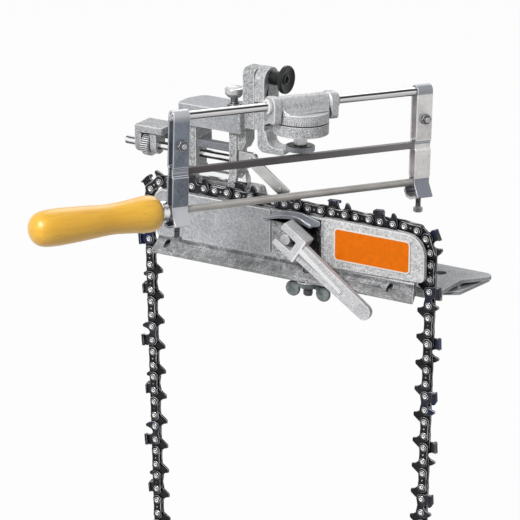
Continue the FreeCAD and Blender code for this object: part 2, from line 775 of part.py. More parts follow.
def make_tilt_arm():
    """Tilt arm: upright with a rounded top, a hooked foot, and a web out to the lower disc."""
    left, right = arm_x
    front = tilt_pivot_y - arm_half_depth
    back = tilt_pivot_y + arm_half_depth
    upright = plate_yz([(front, arm_foot_z[0] + 8), (front, arm_top_z, 9.4), (back, arm_top_z, 9.4),
                        (back, arm_foot_z[0] + 8)], arm_x)
    hook = plate_xz(
        [(left + 2.2, 44.0), (left + 2.2, arm_foot_z[0], 6), (arm_foot_reach_x, arm_foot_z[0], 2),
         (arm_foot_reach_x, arm_foot_z[1], 2), (right + 3.6, arm_foot_z[1], 6), (right + 1.2, 44.0)],
        (front, front + 13))
    cap = block((left - 1, left + 2.2), (front - 1, back + 1), (20, 44))
    disc = Part.makeCylinder(disc_radius, lower_disc_h[1] - lower_disc_h[0],
                             Vector(0, 0, -lower_disc_h[1]), Z_AXIS)
    web_start = Part.makePolygon([Vector(right - 2, 15.5, 48), Vector(right - 2, 31.0, 48),
                                  Vector(right - 2, 31.0, 68), Vector(right - 2, 15.5, 68),
                                  Vector(right - 2, 15.5, 48)])
    web_end = Part.makePolygon([Vector(66.0, -6.5, 62.8), Vector(72.0, 6.5, 62.0),
                                Vector(72.0, 6.5, 69.0), Vector(66.0, -6.5, 69.9),
                                Vector(66.0, -6.5, 62.8)])
    web = Part.makeLoft([web_start, web_end], True, True)
    top_trim = in_guide(block((-60, 60), (-60, 60), (-lower_disc_h[0], 20)))
    body = unite([upright, hook, in_guide(disc), web.cut(top_trim)]).cut(cap)
    bores = [x_rod((0, 60), tilt_pivot_y, tilt_pivot_z, pivot_bolt_radius + running_clearance),
             in_guide(z_rod(0, 0, (-30, 0), swivel_bolt_radius))]
    put("tilt_arm", body.cut(group(bores)))
    rim = pivot_knob_x[1] - 3.6
    knob = turned_x([(pivot_knob_x[0], 0), (pivot_knob_x[0], 5.0), (rim - 1.5, 5.0), (rim, 8.8),
                     (rim + 0.6, pivot_knob_radius), (pivot_knob_x[1] - 0.6, pivot_knob_radius),
                     (pivot_knob_x[1], pivot_knob_radius - 0.7), (pivot_knob_x[1], 0)],
                    tilt_pivot_y, tilt_pivot_z)
    put("pivot_knob", knob.cut(x_rod((0, 60), tilt_pivot_y, tilt_pivot_z,
                                     pivot_bolt_radius + running_clearance)))


def make_swivel():
    """Sleeve housing on its graduated disc, the bolt through both discs, and the lock knob."""
    disc = Part.makeCylinder(disc_radius, upper_disc_h[1] - upper_disc_h[0],
                             Vector(0, 0, -upper_disc_h[1]), Z_AXIS)
    tube = x_rod((-sleeve_half_length, sleeve_half_length), 0, 0, sleeve_radius)
    inner_end = sleeve_half_length - flange_thickness
    foot_z = -upper_disc_h[0] - 0.5
    flare = plate_yz(
        [(-6.2, 1.0), (-6.9, -2.4, 3), (-13.5, foot_z), (13.5, foot_z), (6.9, -2.4, 3), (6.2, 1.0)],
        (-inner_end - 1, inner_end + 1))
    saddle = flare.common(z_rod(0, 0, (foot_z, 1.0), disc_radius - 0.4))
    flanges = [
        plate_yz([(-7.8, -flange_bottom, 3), (-7.8, flange_top, 6.2), (7.8, flange_top, 6.2),
                  (7.8, -flange_bottom, 3)], span)
        for span in ((-sleeve_half_length, -inner_end), (inner_end, sleeve_half_length))]
    sleeve_bore = x_rod((-40, 40), 0, 0, sleeve_bore_radius)
    bolt_seat = z_rod(0, 0, (-upper_disc_h[1] - 1, -7.5), swivel_bolt_radius + running_clearance)
    housing = unite([disc, tube, saddle] + flanges).cut(group([sleeve_bore, bolt_seat]))
    put("sleeve_housing", in_guide(housing))
    bushings = []
    for side in (-1, 1):
        outer = sleeve_half_length + bushing_out
        span = sorted((side * (sleeve_half_length - 12), side * outer))
        collar = sorted((side * (sleeve_half_length + 0.3), side * outer))
        bushing = unite([x_rod(span, 0, 0, sleeve_bore_radius - running_clearance),
                         x_rod(collar, 0, 0, bushing_collar_radius)])
        bushings.append(in_guide(bushing.cut(x_rod((-60, 60), 0, 0, rod_radius + running_clearance))))
    put("guide_bushings", group(bushings))
    bolt = z_rod(0, 0, (-lock_knob_h[0] + 0.3, -lower_disc_h[0] + 3.6), swivel_bolt_radius)
    tip = z_rod(0, 0, (-bolt_tip_h, -lock_knob_h[0] + 1), bolt_tip_radius)
    put("swivel_bolt", in_guide(unite([bolt, tip])))
    low, high = -lock_knob_h[1], -lock_knob_h[0]
    knob = turned_z([(0, low), (lock_knob_radius - 0.8, low), (lock_knob_radius, low + 0.8),
                     (lock_knob_radius, high - 0.8), (lock_knob_radius - 0.8, high), (0, high)], 0, 0)
    put("lock_knob", in_guide(knob.cut(z_rod(0, 0, (-50, 0), bolt_tip_radius + running_clearance))))


def bracket_outline(inset):
    """End outline of a bracket, drawn across the frame and upwards, its metal pared by inset."""
    leg = rod_radius + strip - inset
    dent = flat_file_size[0] / 2 + strip - inset
    dent_half = flat_file_size[1] / 2 + inset * 0.4
    grip = round_file_radius + strip - 0.3 - inset
    fold = inset * 1.2
    return [
        (leg, leg, leg - 0.01),
        (leg, -flat_file_h + dent_half + 1.2), (dent, -flat_file_h + dent_half),
        (dent, -flat_file_h - dent_half), (leg, -flat_file_h - dent_half - 1.2),
        (leg, -round_file_h + 4.6), (grip, -round_file_h + 3.4), (grip, -round_file_h - 1.4),
        (8.2 - inset, -round_file_h - 4.4, 2), (10.2 - inset, -round_file_h - 8.4 + fold * 0.5, 2),
        (7.4 - inset, -round_file_h - 12.2 + fold, 2.4), (1.4, -round_file_h - 13.0 + fold, 3),
        (-9.8 + 1.9 * inset, -round_file_h - 9.3 + fold * 0.6, 0.7),
        (-grip, -round_file_h - 0.4), (-grip, -round_file_h + 3.4), (-leg, -round_file_h + 4.6),
        (-leg, -flat_file_h - dent_half - 1.2), (-dent, -flat_file_h - dent_half),
        (-dent, -flat_file_h + dent_half), (-leg, -flat_file_h + dent_half + 1.2),
        (-leg, leg, leg - 0.01),
    ]


def bracket(middle):
    """Folded strip: over the rod, down both sides of the flat file, and round under the round file."""
    span = (middle - bracket_width / 2, middle + bracket_width / 2)
    outer = plate_yz(bracket_outline(0.0), span)
    inner = plate_yz(bracket_outline(strip), (span[0] - 1, span[1] + 1))
    file_seat = x_rod((span[0] - 1, span[1] + 1), 0, -round_file_h, round_file_radius + running_clearance)
    bolt_hole = y_rod(middle, (-9, 9), -bracket_bolt_h, bracket_bolt_radius)
    screw_hole = z_rod(middle, 0, (-round_file_h - 15, -round_file_h - 9), file_screw_radius)
    return outer.cut(group([inner, file_seat, bolt_hole, screw_hole]))


def hexagon(radius):
    return [(radius * math.cos(math.radians(a)), radius * math.sin(math.radians(a)))
            for a in range(0, 360, 60)]


def make_file_frame():
    """Guide rod, two brackets, both files, their screws, and the wooden handle on its ferrule."""
    put("guide_rod", in_guide(x_rod(rod_reach, 0, 0, rod_radius)))
    for name, middle in zip(("front_bracket", "rear_bracket"), bracket_s):
        put(name, in_guide(bracket(middle)))
    ends = (bracket_s[0] - bracket_width / 2, bracket_s[1] + bracket_width / 2)
    thick, tall = flat_file_size
    flat = block((ends[0] + 1, ends[1] - 1), (-thick / 2, thick / 2),
                 (-flat_file_h - tall / 2, -flat_file_h + tall / 2))
    put("flat_file", in_guide(flat))
    file_end = bracket_s[0] - bracket_width / 2 - 1.6
    shank = x_rod((file_end, ends[1] + 0.5), 0, -round_file_h, round_file_radius)
    tang = x_rod((file_end - tang_length, file_end), 0, -round_file_h, tang_radius)
    put("round_file", in_guide(unite([shank, tang])))
    bolts = []
    nuts = []
    screws = []
    for middle in bracket_s:
        half = rod_radius + strip
        level = -bracket_bolt_h
        end = half + bracket_bolt_head[1]
        shaft = y_rod(middle, (-half - bracket_bolt_proud, end), level, bracket_bolt_radius)
        head = y_rod(middle, (half, end), level, bracket_bolt_head[0])
        bolts.append(in_guide(unite([shaft, head])))
        nut = plate_xz(hexagon(nut_radius), (-nut_thickness, 0))
        nut.translate(Vector(middle, -half, level))
        nuts.append(in_guide(nut.cut(shaft)))
        end = -round_file_h - bracket_floor - file_screw_drop
        head = plate_xy(hexagon(file_screw_head[0]), (end, end + file_screw_head[1]))
        head.translate(Vector(middle, 0, 0))
        shank = z_rod(middle, 0, (end + 1, -round_file_h - round_file_radius - 0.4), file_screw_radius)
        screws.append(in_guide(unite([shank, head])))
    put("bracket_bolts", group(bolts))
    put("bracket_nuts", group(nuts))
    put("file_screws", group(screws))
    make_handle(file_end, in_guide(tang))


def make_handle(file_end, tang):
    """Turned handle with its waist, and the collar nut that holds it to the file's tang."""
    def along(shape):
        """Turn a shape built on the X axis to the handle's line, which droops from the file's."""
        shape = shape.copy()
        shape.rotate(Vector(), Y_AXIS, -handle_droop_deg)
        shape.translate(Vector(file_end, 0, -round_file_h))
        return in_guide(shape)

    ferrule = turned_x([(-6.5, 0), (-6.5, 6.4), (-5.0, 7.4), (-1.5, 7.4), (-0.2, 5.6), (-0.2, 0)], 0, 0)
    put("handle_ferrule", along(ferrule).cut(tang))
    curve = [(-6.7, 0.0), (-6.7, 8.6), (-9.4, 11.4), (-16.0, 12.5), (-29.0, 11.3), (-43.0, 10.4),
             (-62.0, 11.6), (-83.0, 12.6), (-94.5, 11.3), (-100.0, 6.6), (-101.6, 0.0)]
    points = [Vector(x, 0, radius) for x, radius in curve]
    spline = Part.BSplineCurve()
    spline.interpolate(points[1:-1])
    edges = [Part.LineSegment(points[0], points[1]).toShape(), spline.toShape(),
             Part.LineSegment(points[-2], points[-1]).toShape(),
             Part.LineSegment(points[-1], points[0]).toShape()]
    wood = Part.Face(Part.Wire(edges)).revolve(Vector(), X_AXIS, 360)
    put("file_handle", along(wood).cut(tang))


def main():
    os.makedirs("parts", exist_ok=True)
    make_base()
    make_wing_nut()
    make_lever()
    make_head()
    make_thumb_screw()
    make_chain_stop()
    make_tilt_arm()
    make_swivel()
    make_file_frame()
    make_chain()


main()
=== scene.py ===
import bmesh
import bpy
import json
import math
from mathutils import Matrix, Vector
from mathutils.bvhtree import BVHTree

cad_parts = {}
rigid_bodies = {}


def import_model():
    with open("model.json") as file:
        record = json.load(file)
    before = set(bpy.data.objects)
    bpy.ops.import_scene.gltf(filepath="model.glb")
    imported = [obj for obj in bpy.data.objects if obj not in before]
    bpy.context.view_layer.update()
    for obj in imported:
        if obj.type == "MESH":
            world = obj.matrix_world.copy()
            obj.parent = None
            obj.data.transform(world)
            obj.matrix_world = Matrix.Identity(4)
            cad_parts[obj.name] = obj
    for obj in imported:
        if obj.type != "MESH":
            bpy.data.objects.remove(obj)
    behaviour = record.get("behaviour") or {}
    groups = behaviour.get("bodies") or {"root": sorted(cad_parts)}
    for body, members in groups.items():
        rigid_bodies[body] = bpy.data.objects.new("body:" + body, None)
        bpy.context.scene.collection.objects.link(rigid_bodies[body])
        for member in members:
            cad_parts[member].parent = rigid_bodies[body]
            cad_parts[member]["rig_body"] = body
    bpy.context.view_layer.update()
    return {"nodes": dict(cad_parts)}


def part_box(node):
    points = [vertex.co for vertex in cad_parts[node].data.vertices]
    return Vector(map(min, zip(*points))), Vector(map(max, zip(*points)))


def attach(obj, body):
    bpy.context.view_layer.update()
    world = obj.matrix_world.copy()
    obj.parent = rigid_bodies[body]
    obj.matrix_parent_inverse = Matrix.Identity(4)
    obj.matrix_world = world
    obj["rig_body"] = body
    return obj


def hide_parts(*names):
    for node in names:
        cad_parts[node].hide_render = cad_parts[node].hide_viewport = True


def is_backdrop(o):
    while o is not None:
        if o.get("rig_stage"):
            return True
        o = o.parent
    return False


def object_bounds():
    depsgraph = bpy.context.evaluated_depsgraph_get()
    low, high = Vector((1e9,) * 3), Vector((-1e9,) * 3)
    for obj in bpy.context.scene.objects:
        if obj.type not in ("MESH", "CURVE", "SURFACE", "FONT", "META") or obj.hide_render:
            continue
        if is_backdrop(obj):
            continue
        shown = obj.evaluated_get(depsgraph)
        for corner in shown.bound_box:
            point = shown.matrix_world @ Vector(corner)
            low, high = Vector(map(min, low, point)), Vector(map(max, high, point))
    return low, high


# Saw-chain filing fixture. Lengths in the settings are millimetres in the fixture's own frame,
# which has its origin on the bench, midway between the two screws.

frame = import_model()
nodes = frame["nodes"]
scene = bpy.context.scene
mm = 0.001
print("frame loaded:", len(nodes), "nodes")


def point(x, y, z):
    return Vector((x * mm, y * mm, z * mm))


def shift(x, y, z):
    return Matrix.Translation(point(x, y, z))


def turn(degrees, axis):
    return Matrix.Rotation(math.radians(degrees), 4, axis)


def metres(span):
    return tuple(length * mm for length in span)


# Shader sums are written as plain expressions: a wire is one socket that adds its own Math nodes

def operator(kind, swapped=False):
    def apply(wire, other):
        return wire.finish.maths(kind, *((other, wire) if swapped else (wire, other)))
    return apply


class Wire:
    def __init__(self, finish, socket):
        self.finish, self.socket = finish, socket

    __add__, __radd__ = operator("ADD"), operator("ADD", True)
    __sub__, __rsub__ = operator("SUBTRACT"), operator("SUBTRACT", True)
    __mul__, __rmul__ = operator("MULTIPLY"), operator("MULTIPLY", True)
    __gt__, __lt__ = operator("GREATER_THAN"), operator("LESS_THAN")

    def __abs__(self):
        return self.finish.maths("ABSOLUTE", self)


class Finish:
    def __init__(self, name, world=None):
        self.material = world or bpy.data.materials.new(name)
        self.material.use_nodes = True
        self.tree = self.material.node_tree
        self.tree.nodes.clear()

    # one node of any type: settings first, then the values or wires of its sockets
    def add(self, kind, settings=None, sockets=None, out=0):
        node = self.tree.nodes.new(kind)
        for key, value in (settings or {}).items():
            if key == "stops":
                stops = node.color_ramp.elements
                for stop, (position, colour) in ((stops[-1], value[-1]), (stops[0], value[0])):
                    stop.position, stop.color = position, rgba(colour)
                for position, colour in value[1:-1]:
                    stops.new(position).color = rgba(colour)
            else:
                setattr(node, key, value)
        for key, value in (sockets or {}).items():
            if isinstance(value, Wire):
                self.tree.links.new(value.socket, node.inputs[key])
            else:
                node.inputs[key].default_value = value
        return Wire(self, node.outputs[out])

    def maths(self, operation, *values):
        return self.add("ShaderNodeMath", {"operation": operation}, dict(enumerate(values)))

    # 1 on rounded corners, 0 elsewhere
    def edge(self):
        return self.add("ShaderNodeAttribute", {"attribute_name": "edge"}, out="Fac")

    # place in a piece's own axes
    def along(self):
        return self.add("ShaderNodeAttribute", {"attribute_name": "along"}, out="Vector")

    def where(self):
        return self.add("ShaderNodeTexCoord", out="Object")

    def axis(self, name, source=None):
        return self.add("ShaderNodeSeparateXYZ", None, {0: source or self.where()}, out=name)

    # angle and place round a bar that lies along X
    def around(self, source):
        side, height = self.axis("Y", source), self.axis("Z", source)
        return self.maths("ARCTAN2", height, side), side, height

    def mapped(self, source, scale):
        return self.add("ShaderNodeMapping", None, {"Vector": source, "Scale": scale})

    def noise(self, scale, detail=3.0, rough=0.55, source=None):
        return self.add("ShaderNodeTexNoise", None,
                        {"Vector": source or self.where(), "Scale": scale, "Detail": detail,
                         "Roughness": rough})

    # noise with a scale of its own on each axis
    def streaks(self, source, scale, detail=2.0, rough=0.5):
        return self.noise(1.0, detail, rough, self.mapped(source, scale))

    # stretches a span of values over another; noise lies mostly between 0.3 and 0.7
    def spread(self, value, span=(0.3, 0.7), to=(0.0, 1.0)):
        return self.add("ShaderNodeMapRange", None,
                        {"Value": value, "From Min": span[0], "From Max": span[1], "To Min": to[0],
                         "To Max": to[1]})

    # 1 inside limits in mm along some axes, where None leaves a side open
    def inside(self, limits, source=None):
        tests = []
        for letter, (low, high) in limits.items():
            place = self.axis(letter, source)
            tests += [place > low * mm] if low is not None else []
            tests += [place < high * mm] if high is not None else []
        return math.prod(tests)

    # squared distance from a place in X and Z
    def away(self, place):
        x, z = (self.axis(letter) - middle * mm for letter, middle in zip("XZ", place))
        return x * x + z * z

    def mix(self, share, first, second):
        return self.add("ShaderNodeMix", {"data_type": "RGBA"},
                        {"Factor": share, 6: rgba(first), 7: rgba(second)}, out=2)

    # lays colours over a first one, each where its mask says and at its share
    def layers(self, colour, *coats):
        for mask, share, over in coats:
            colour = self.mix(mask * share, colour, over)
        return colour

    # rough is (noise, lowest, highest) and bumps are (height, distance, strength)
    def surface(self, colour, metallic, rough, bumps=None, **rest):
        names = {"coat": "Coat Weight", "coatRough": "Coat Roughness", "specular": "Specular IOR Level"}
        sockets = {"Base Color": rgba(colour), "Metallic": metallic,
                   "Roughness": self.spread(rough[0], to=rough[1:])}
        if bumps:
            sockets["Normal"] = self.add("ShaderNodeBump", None,
                                         dict(zip(("Height", "Distance", "Strength"), bumps)))
        sockets.update({names[key]: value for key, value in rest.items()})
        self.show(self.add("ShaderNodeBsdfPrincipled", None, sockets))
        finishes[self.material.name] = self.material

    def show(self, shader, output="ShaderNodeOutputMaterial"):
        self.tree.links.new(shader.socket, self.tree.nodes.new(output).inputs["Surface"])


def rgba(value):
    # a wire, a colour or a grey, as a socket takes it
    if isinstance(value, Wire):
        return value
    return (value, value, value, 1) if isinstance(value, (int, float)) else (*value, 1)


def shade(colour, factor):
    return tuple(min(1.0, part * factor) for part in colour)


finishes = {}       # every finish by its name

# Castings. Every rounded piece carries "edge", which is 1 on its rounded corners

castSet = {
    "colour": (0.45, 0.46, 0.475),
    "dressedColour": (0.345, 0.37, 0.405),
    "cheekColour": 0.82,
    "darkest": 0.42,        # of the plain colour
    # share and colour of each layer
    "light": (0.55, (0.95, 0.95, 0.96)),
    "pits": (0.45, (0.07, 0.07, 0.075)),
    # colour of the rounded corners: partly wear, partly a painted highlight
    "worn": (0.75, (0.86, 0.86, 0.87)),
    # painted shade laid over the head's shaded areas
    "paintedShadeCoat": (0.8, (0.14, 0.152, 0.175)),
    # painted shade: a dark line in the gap between the swivel discs
    "seam": (0.9, (0.012, 0.012, 0.014)),
    "discGapPlace": {"Z": (-12.65, -11.65)},       # between the swivel discs, in the guide's own frame
    "sandScale": 1050,      # sand grain, per metre
    "pitScale": 520,
    "cloudScale": 38,
    "dressedSand": 0.6,     # how much of the grain a dressed face and the cheek have lost
    "cheekSand": 0.35,
    "metallic": 0.12,
    "rough": (0.34, 0.52),
    "areas": {
        "railFace": {"X": (None, -57.5), "Y": (None, -45.5), "Z": (13.5, None)},    # left of the lever
        "deck": {"Y": (-32.0, None), "Z": (None, 12.5)},
        "cheek": {"X": (-12.5, None), "Y": (None, -44.5), "Z": (13.5, None)},       # round the badge
        "headBlock": {"X": (None, -92.3), "Z": (92.5, None)},
        "yoke": {"X": (None, -157.5), "Z": (None, 92.5)},
        "crosspiece": {"X": (-130.6, -102.9), "Z": (76.4, 82.2)},
    },
}

castings = {
    # how far each area is smooth, pale or painted darker as shade
    "baseCasting": {"smooth": {"railFace": 1, "deck": 1}, "pale": {"cheek": 1}, "soiled": True},
    "armCasting": {"tint": 1.1, "tumbled": 0.2, "seam": True},
    "sleeveCasting": {"tint": 1.26, "tumbled": 0.5, "seam": True},
    "headCasting": {"smooth": {"headBlock": 1, "yoke": 0.6}, "tumbled": 0.15,
                    "dim": {"crosspiece": 1, "headBlock": 0.2, "yoke": 0.12}},
}

soilSet = {
    "beam": {"Y": (None, -40.0), "Z": (None, 12.5)},
    "beamFade": (-12.0, 12.0),      # most soiled under the rail
    "rubbed": (1.0, (0.84, 0.84, 0.85)),
    "oil": (0.85, (0.05, 0.05, 0.055)),
    # holes and crease get painted shade; round the pin, old grease with painted shade
    "holes": ((-140.8, 9.5), (40.0, 9.5)),
    "holeRadius": 2.3,
    "holeSide": {"Y": (None, -35.0)},
    "holeShade": (0.9, 0.01),
    "pin": (-34.5, 34.5),
    "pinReach": (80.0, 170.0),      # squared distances between which the grease thins out
    "pinSide": {"Y": (None, -38.0)},
    "pinGreaseAndShade": (0.85, (0.025, 0.027, 0.03)),
    "crease": {"Y": (None, -45.5), "Z": (11.2, 13.4)},
    "creaseShade": (1.0, (0.07, 0.073, 0.08)),
}


def soiledBeam(finish, colour, grain, stain):
    # oil and dust gather on the beam's flank, and some of it is rubbed off again
    soiled = (finish.inside(soilSet["beam"])
              * finish.spread(finish.axis("Z"), metres(soilSet["beamFade"]), (0.5, 1.0)))
    oily = finish.spread(stain, (0.4, 0.6), (0.15, 1.0)) * finish.spread(grain, (0.42, 0.54))
    rubbed = finish.spread(stain, (0.36, 0.5), (0.85, 0.1)) * finish.spread(grain, (0.5, 0.6))
    return finish.layers(colour, (soiled * rubbed, *soilSet["rubbed"]), (soiled * oily, *soilSet["oil"]))


def greasyPlaces(finish, colour, stain):
    # painted shade in the beam's small holes and in the crease between the rail face and the beam, and
    # old grease round the lever's pin, partly painted shade too
    holes = sum(finish.away(hole) < (soilSet["holeRadius"] * mm) ** 2 for hole in soilSet["holes"])
    pin = finish.spread(finish.away(soilSet["pin"]), metres(metres(soilSet["pinReach"])), (1.0, 0.0))
    crease = finish.inside(soilSet["crease"]) * finish.spread(stain, (0.35, 0.6), (0.35, 0.85))
    return finish.layers(colour, (holes * finish.inside(soilSet["holeSide"]), *soilSet["holeShade"]),
                         (pin * finish.inside(soilSet["pinSide"]), *soilSet["pinGreaseAndShade"]),
                         (crease, *soilSet["creaseShade"]))


def castAluminium(name, smooth=None, pale=None, dim=None, soiled=False, seam=False, tint=1.0,
                  tumbled=0.0):
    finish = Finish(name)

    def over(shares):
        return sum(finish.inside(castSet["areas"][area]) * share for area, share in shares.items())

    grain = finish.noise(castSet["sandScale"], 3.0, 0.75)
    coarse = finish.noise(castSet["sandScale"] * 0.4, 2.0, 0.5)
    cloud = finish.noise(castSet["cloudScale"], 3.0, 0.5)
    stain = finish.noise(castSet["cloudScale"] * 3.2, 5.0, 0.7)
    pits = finish.spread(finish.noise(castSet["pitScale"], 2.0, 0.5), (0.33, 0.4), (1.0, 0.0))
    plain = shade(castSet["colour"], tint)
    sandy = 1.0 - tumbled
    if smooth:
        dressed = over(smooth)
        sandy = 1.0 - dressed * castSet["dressedSand"]
        plain = finish.mix(dressed, plain, shade(castSet["dressedColour"], tint))
    if pale:
        raised = over(pale)
        sandy = sandy * (1.0 - raised * castSet["cheekSand"])
        plain = finish.mix(raised, plain, castSet["cheekColour"])
    speckle = (finish.spread(grain, (0.38, 0.62), (-0.85, 0.85))
               + finish.spread(coarse, (0.35, 0.65), (-0.2, 0.2)))
    patchy = finish.spread(cloud, to=(-0.14, 0.14)) + finish.spread(stain, (0.35, 0.65), (-0.1, 0.1))
    dark = finish.add("ShaderNodeVectorMath", {"operation": "SCALE"},
                      {0: plain, "Scale": castSet["darkest"]})
    colour = finish.mix(finish.spread(speckle * sandy + patchy, (-0.8, 0.8)), dark,
                        finish.layers(plain, (1, *castSet["light"])))
    if soiled:
        colour = soiledBeam(finish, colour, grain, stain)
    # rounded corners painted lighter, partly as wear and partly as a painted highlight
    colour = finish.layers(colour, (pits * sandy, *castSet["pits"]), (finish.edge(), *castSet["worn"]))
    if soiled:
        colour = greasyPlaces(finish, colour, stain)
    # painted shade over the head's crosspiece, block and yoke
    if dim:
        colour = finish.layers(colour, (over(dim), *castSet["paintedShadeCoat"]))
    # painted shade: a dark line in the gap between the swivel discs
    if seam:
        gap = finish.inside(castSet["discGapPlace"], finish.along())
        colour = finish.layers(colour, (gap, *castSet["seam"]))
    height = grain * sandy - pits * sandy * 0.5 + coarse * sandy * 0.5
    finish.surface(colour, castSet["metallic"] + tumbled * 0.5, (cloud, *castSet["rough"]),
                   (height, 0.0008, 0.9 - tumbled * 0.4))


leverSet = {
    "colours": ((0.36, 0.365, 0.38), (0.84, 0.84, 0.85)),
    "rib": {"X": (12.5, 54.5)},
    "ribMiddle": 1.0,
    "ribHalf": 5.2,         # at the pin
    "ribTaper": 0.075,      # narrower by this much with each mm from it
    "foot": {"Y": (None, 0.5)},
    # painted shadow along the rib's foot, painted highlight on its top and painted shade on the hub
    "ribFootShadow": (0.45, (0.08, 0.08, 0.085)),
    "top": {"Y": (None, -0.9)},
    "ribTopWearAndHighlight": (1.0, (0.92, 0.92, 0.93)),
    "hub": {"Y": (8.8, None)},      # behind the fork
    "hubShade": (0.9, (0.02, 0.021, 0.023)),
}


def leverCasting(name):
    # the lever's raised rib is rubbed bright and has a painted highlight on its top, with painted shadow
    # along its foot, painted shade on the hub behind the fork, and corners lighter partly as wear and
    # partly as a painted highlight
    finish = Finish(name)
    own = finish.along()
    grain = finish.noise(castSet["sandScale"], 3.0, 0.75)
    cloud = finish.noise(castSet["cloudScale"] * 2, 4.0, 0.6)
    tone = finish.spread(grain, (0.35, 0.65)) * 0.7 + finish.spread(cloud) * 0.3
    half = finish.axis("X", own) * -leverSet["ribTaper"] + leverSet["ribHalf"] * mm
    beside = abs(finish.axis("Z", own) - leverSet["ribMiddle"] * mm) < half
    rib, foot, top, hub = (finish.inside(leverSet[place], own) for place in ("rib", "foot", "top", "hub"))
    rubbed = top * rib * finish.spread(grain, (0.3, 0.6), (0.6, 0.95))
    colour = finish.layers(finish.mix(tone, *leverSet["colours"]),
                           (rib * beside * foot, *leverSet["ribFootShadow"]), (rubbed, *leverSet["ribTopWearAndHighlight"]),
                           (finish.edge(), *castSet["worn"]), (hub, *leverSet["hubShade"]))
    finish.surface(colour, castSet["metallic"], (cloud, *castSet["rough"]), (grain, 0.0006, 0.8))


# Steels

steelSet = {
    # finish: colour, roughness and how metallic
    "brightSteel": ((0.46, 0.46, 0.47), 0.26, 0.75),
    "springSteel": ((0.52, 0.52, 0.51), 0.34, 0.5),
    "bladeSteel": ((0.22, 0.235, 0.26), 0.3, 0.6),
    "threads": ((0.10, 0.10, 0.11), 0.35, 0.4),
    "rimSteel": ((0.27, 0.28, 0.30), 0.3, 0.6),
}


def brushedSteel(name, colour, rough, metallic):
    finish = Finish(name)
    lines = finish.streaks(finish.where(), (60, 60, 900), 3.0, 0.6)
    cloud = finish.noise(70, 3.0, 0.5)
    tone = finish.spread(lines) * 0.25 + finish.spread(cloud) * 0.75
    worn = finish.layers(shade(colour, 0.62), (tone, 1, shade(colour, 1.25)),
                         (finish.edge(), 0.4, (0.86, 0.86, 0.87)))
    finish.surface(worn, metallic, (cloud, rough * 0.75, rough * 1.3), (lines, 0.00008, 0.5))


# painted reflections round a mirror-bright bar: the colours it would mirror from its far side over its
# underside, front and top and back again, as shares of the turn; the wobble is its share of the turn and
# its scale
paintedReflectionSet = {
    "chromedRod": {"wobble": (0.25, 18), "bands": [
        (0.0, (0.62, 0.61, 0.62)), (0.08, (0.45, 0.44, 0.44)), (0.12, 0.06), (0.20, 0.2), (0.30, 0.7),
        (0.45, 0.25), (0.57, 0.8), (0.66, 0.25), (0.72, 0.06), (0.77, 0.2), (0.80, 0.88), (0.855, 0.92),
        (0.875, (0.01, 0.01, 0.012)), (0.935, (0.01, 0.01, 0.012)), (0.955, 0.8),
        (1.0, (0.62, 0.61, 0.62))]},
    "guideBar": {"wobble": (0.9, 60), "bands": [
        (0.0, 0.86), (0.12, 0.16), (0.3, 0.6), (0.6, 0.3), (0.74, 0.12), (0.80, 0.88), (1.0, 0.92)]},
    "ferrule": {"wobble": (1.3, 260), "bands": [
        (0.0, (0.85, 0.85, 0.86)), (0.07, (0.03, 0.03, 0.035)), (0.16, (0.6, 0.6, 0.62)), (0.4, 0.1),
        (0.6, 0.7), (0.74, 0.9), (0.85, 0.92), (0.9, (0.12, 0.12, 0.13)), (0.95, 0.9),
        (1.0, (0.85, 0.85, 0.86))]},
    "spindle": {"wobble": (0.5, 90), "bands": [
        (0.0, 0.92), (0.05, (0.06, 0.06, 0.065)), (0.11, (0.05, 0.05, 0.055)), (0.17, 0.5), (0.4, 0.2),
        (0.7, 0.5), (0.79, 0.9), (0.84, (0.08, 0.08, 0.085)), (0.88, 0.1), (0.91, 0.92), (1.0, 0.92)]},
}


def polishedRod(name, wobble, bands):
    # painted reflections: dark and bright bands, standing in for what a mirror-bright bar reflects, run
    # along the bar
    finish = Finish(name)
    own = finish.along()
    waver = finish.streaks(own, (wobble[1], 0, 0)) - 0.5
    place = finish.spread(finish.around(own)[0] + waver * wobble[0], (-math.pi, math.pi))
    ramp = finish.add("ShaderNodeValToRGB", {"stops": bands}, {"Fac": place})
    scratches = finish.streaks(own, (30, 900, 900))
    shown = finish.mix(finish.spread(scratches, to=(0.0, 0.2)), ramp, (0.35, 0.35, 0.36))
    finish.surface(shown, 0.9, (scratches, 0.1, 0.2), (scratches, 0.00003, 0.4))


knurlSet = {"rimRadius": 7.9, "teeth": 34.0}


def knurledRim(name):
    # straight knurling on the wheel's rim, in its own frame: darker in the grooves, crests rubbed bright
    finish = Finish(name)
    angle, side, height = finish.around(finish.along())
    crest = finish.spread(finish.maths("SINE", angle * knurlSet["teeth"]), (-0.6, 0.8))
    rim = side * side + height * height > (knurlSet["rimRadius"] * mm) ** 2
    smear = finish.noise(420, 3.0, 0.6)
    plain = finish.mix(finish.spread(smear), (0.30, 0.30, 0.31), (0.62, 0.62, 0.63))
    cut = finish.mix(crest, (0.05, 0.05, 0.055), (0.8, 0.8, 0.81))
    finish.surface(finish.mix(rim, plain, cut), 0.5, (smear, 0.25, 0.4), (crest * rim, 0.0003, 0.8))


stripSet = {
    # heights in the guide's own frame: the foot's bend, the crown's bend and the flat file's groove
    # bend: colour of the painted reflection on the bends, the foot and the groove
    "stripSteel": {"colour": (0.68, 0.66, 0.655), "wear": 0.24, "rough": 0.34,
                   "bend": (0.14, 0.16, 0.21), "crown": (-2.4, -1.4), "groove": -36.0,
                   "grooveShare": 0.95},
    "frontStrip": {"colour": (0.165, 0.187, 0.222), "wear": 0.45, "rough": 0.36,
                   "bend": (0.62, 0.62, 0.65), "crown": (-4.0, 1.0), "groove": -38.2,
                   "grooveShare": 0.4},
}
stripFoot = {"Z": (-74.5, -62.0)}
grooveHalf = (0.6, 1.6)         # between these distances the groove's shade fades out


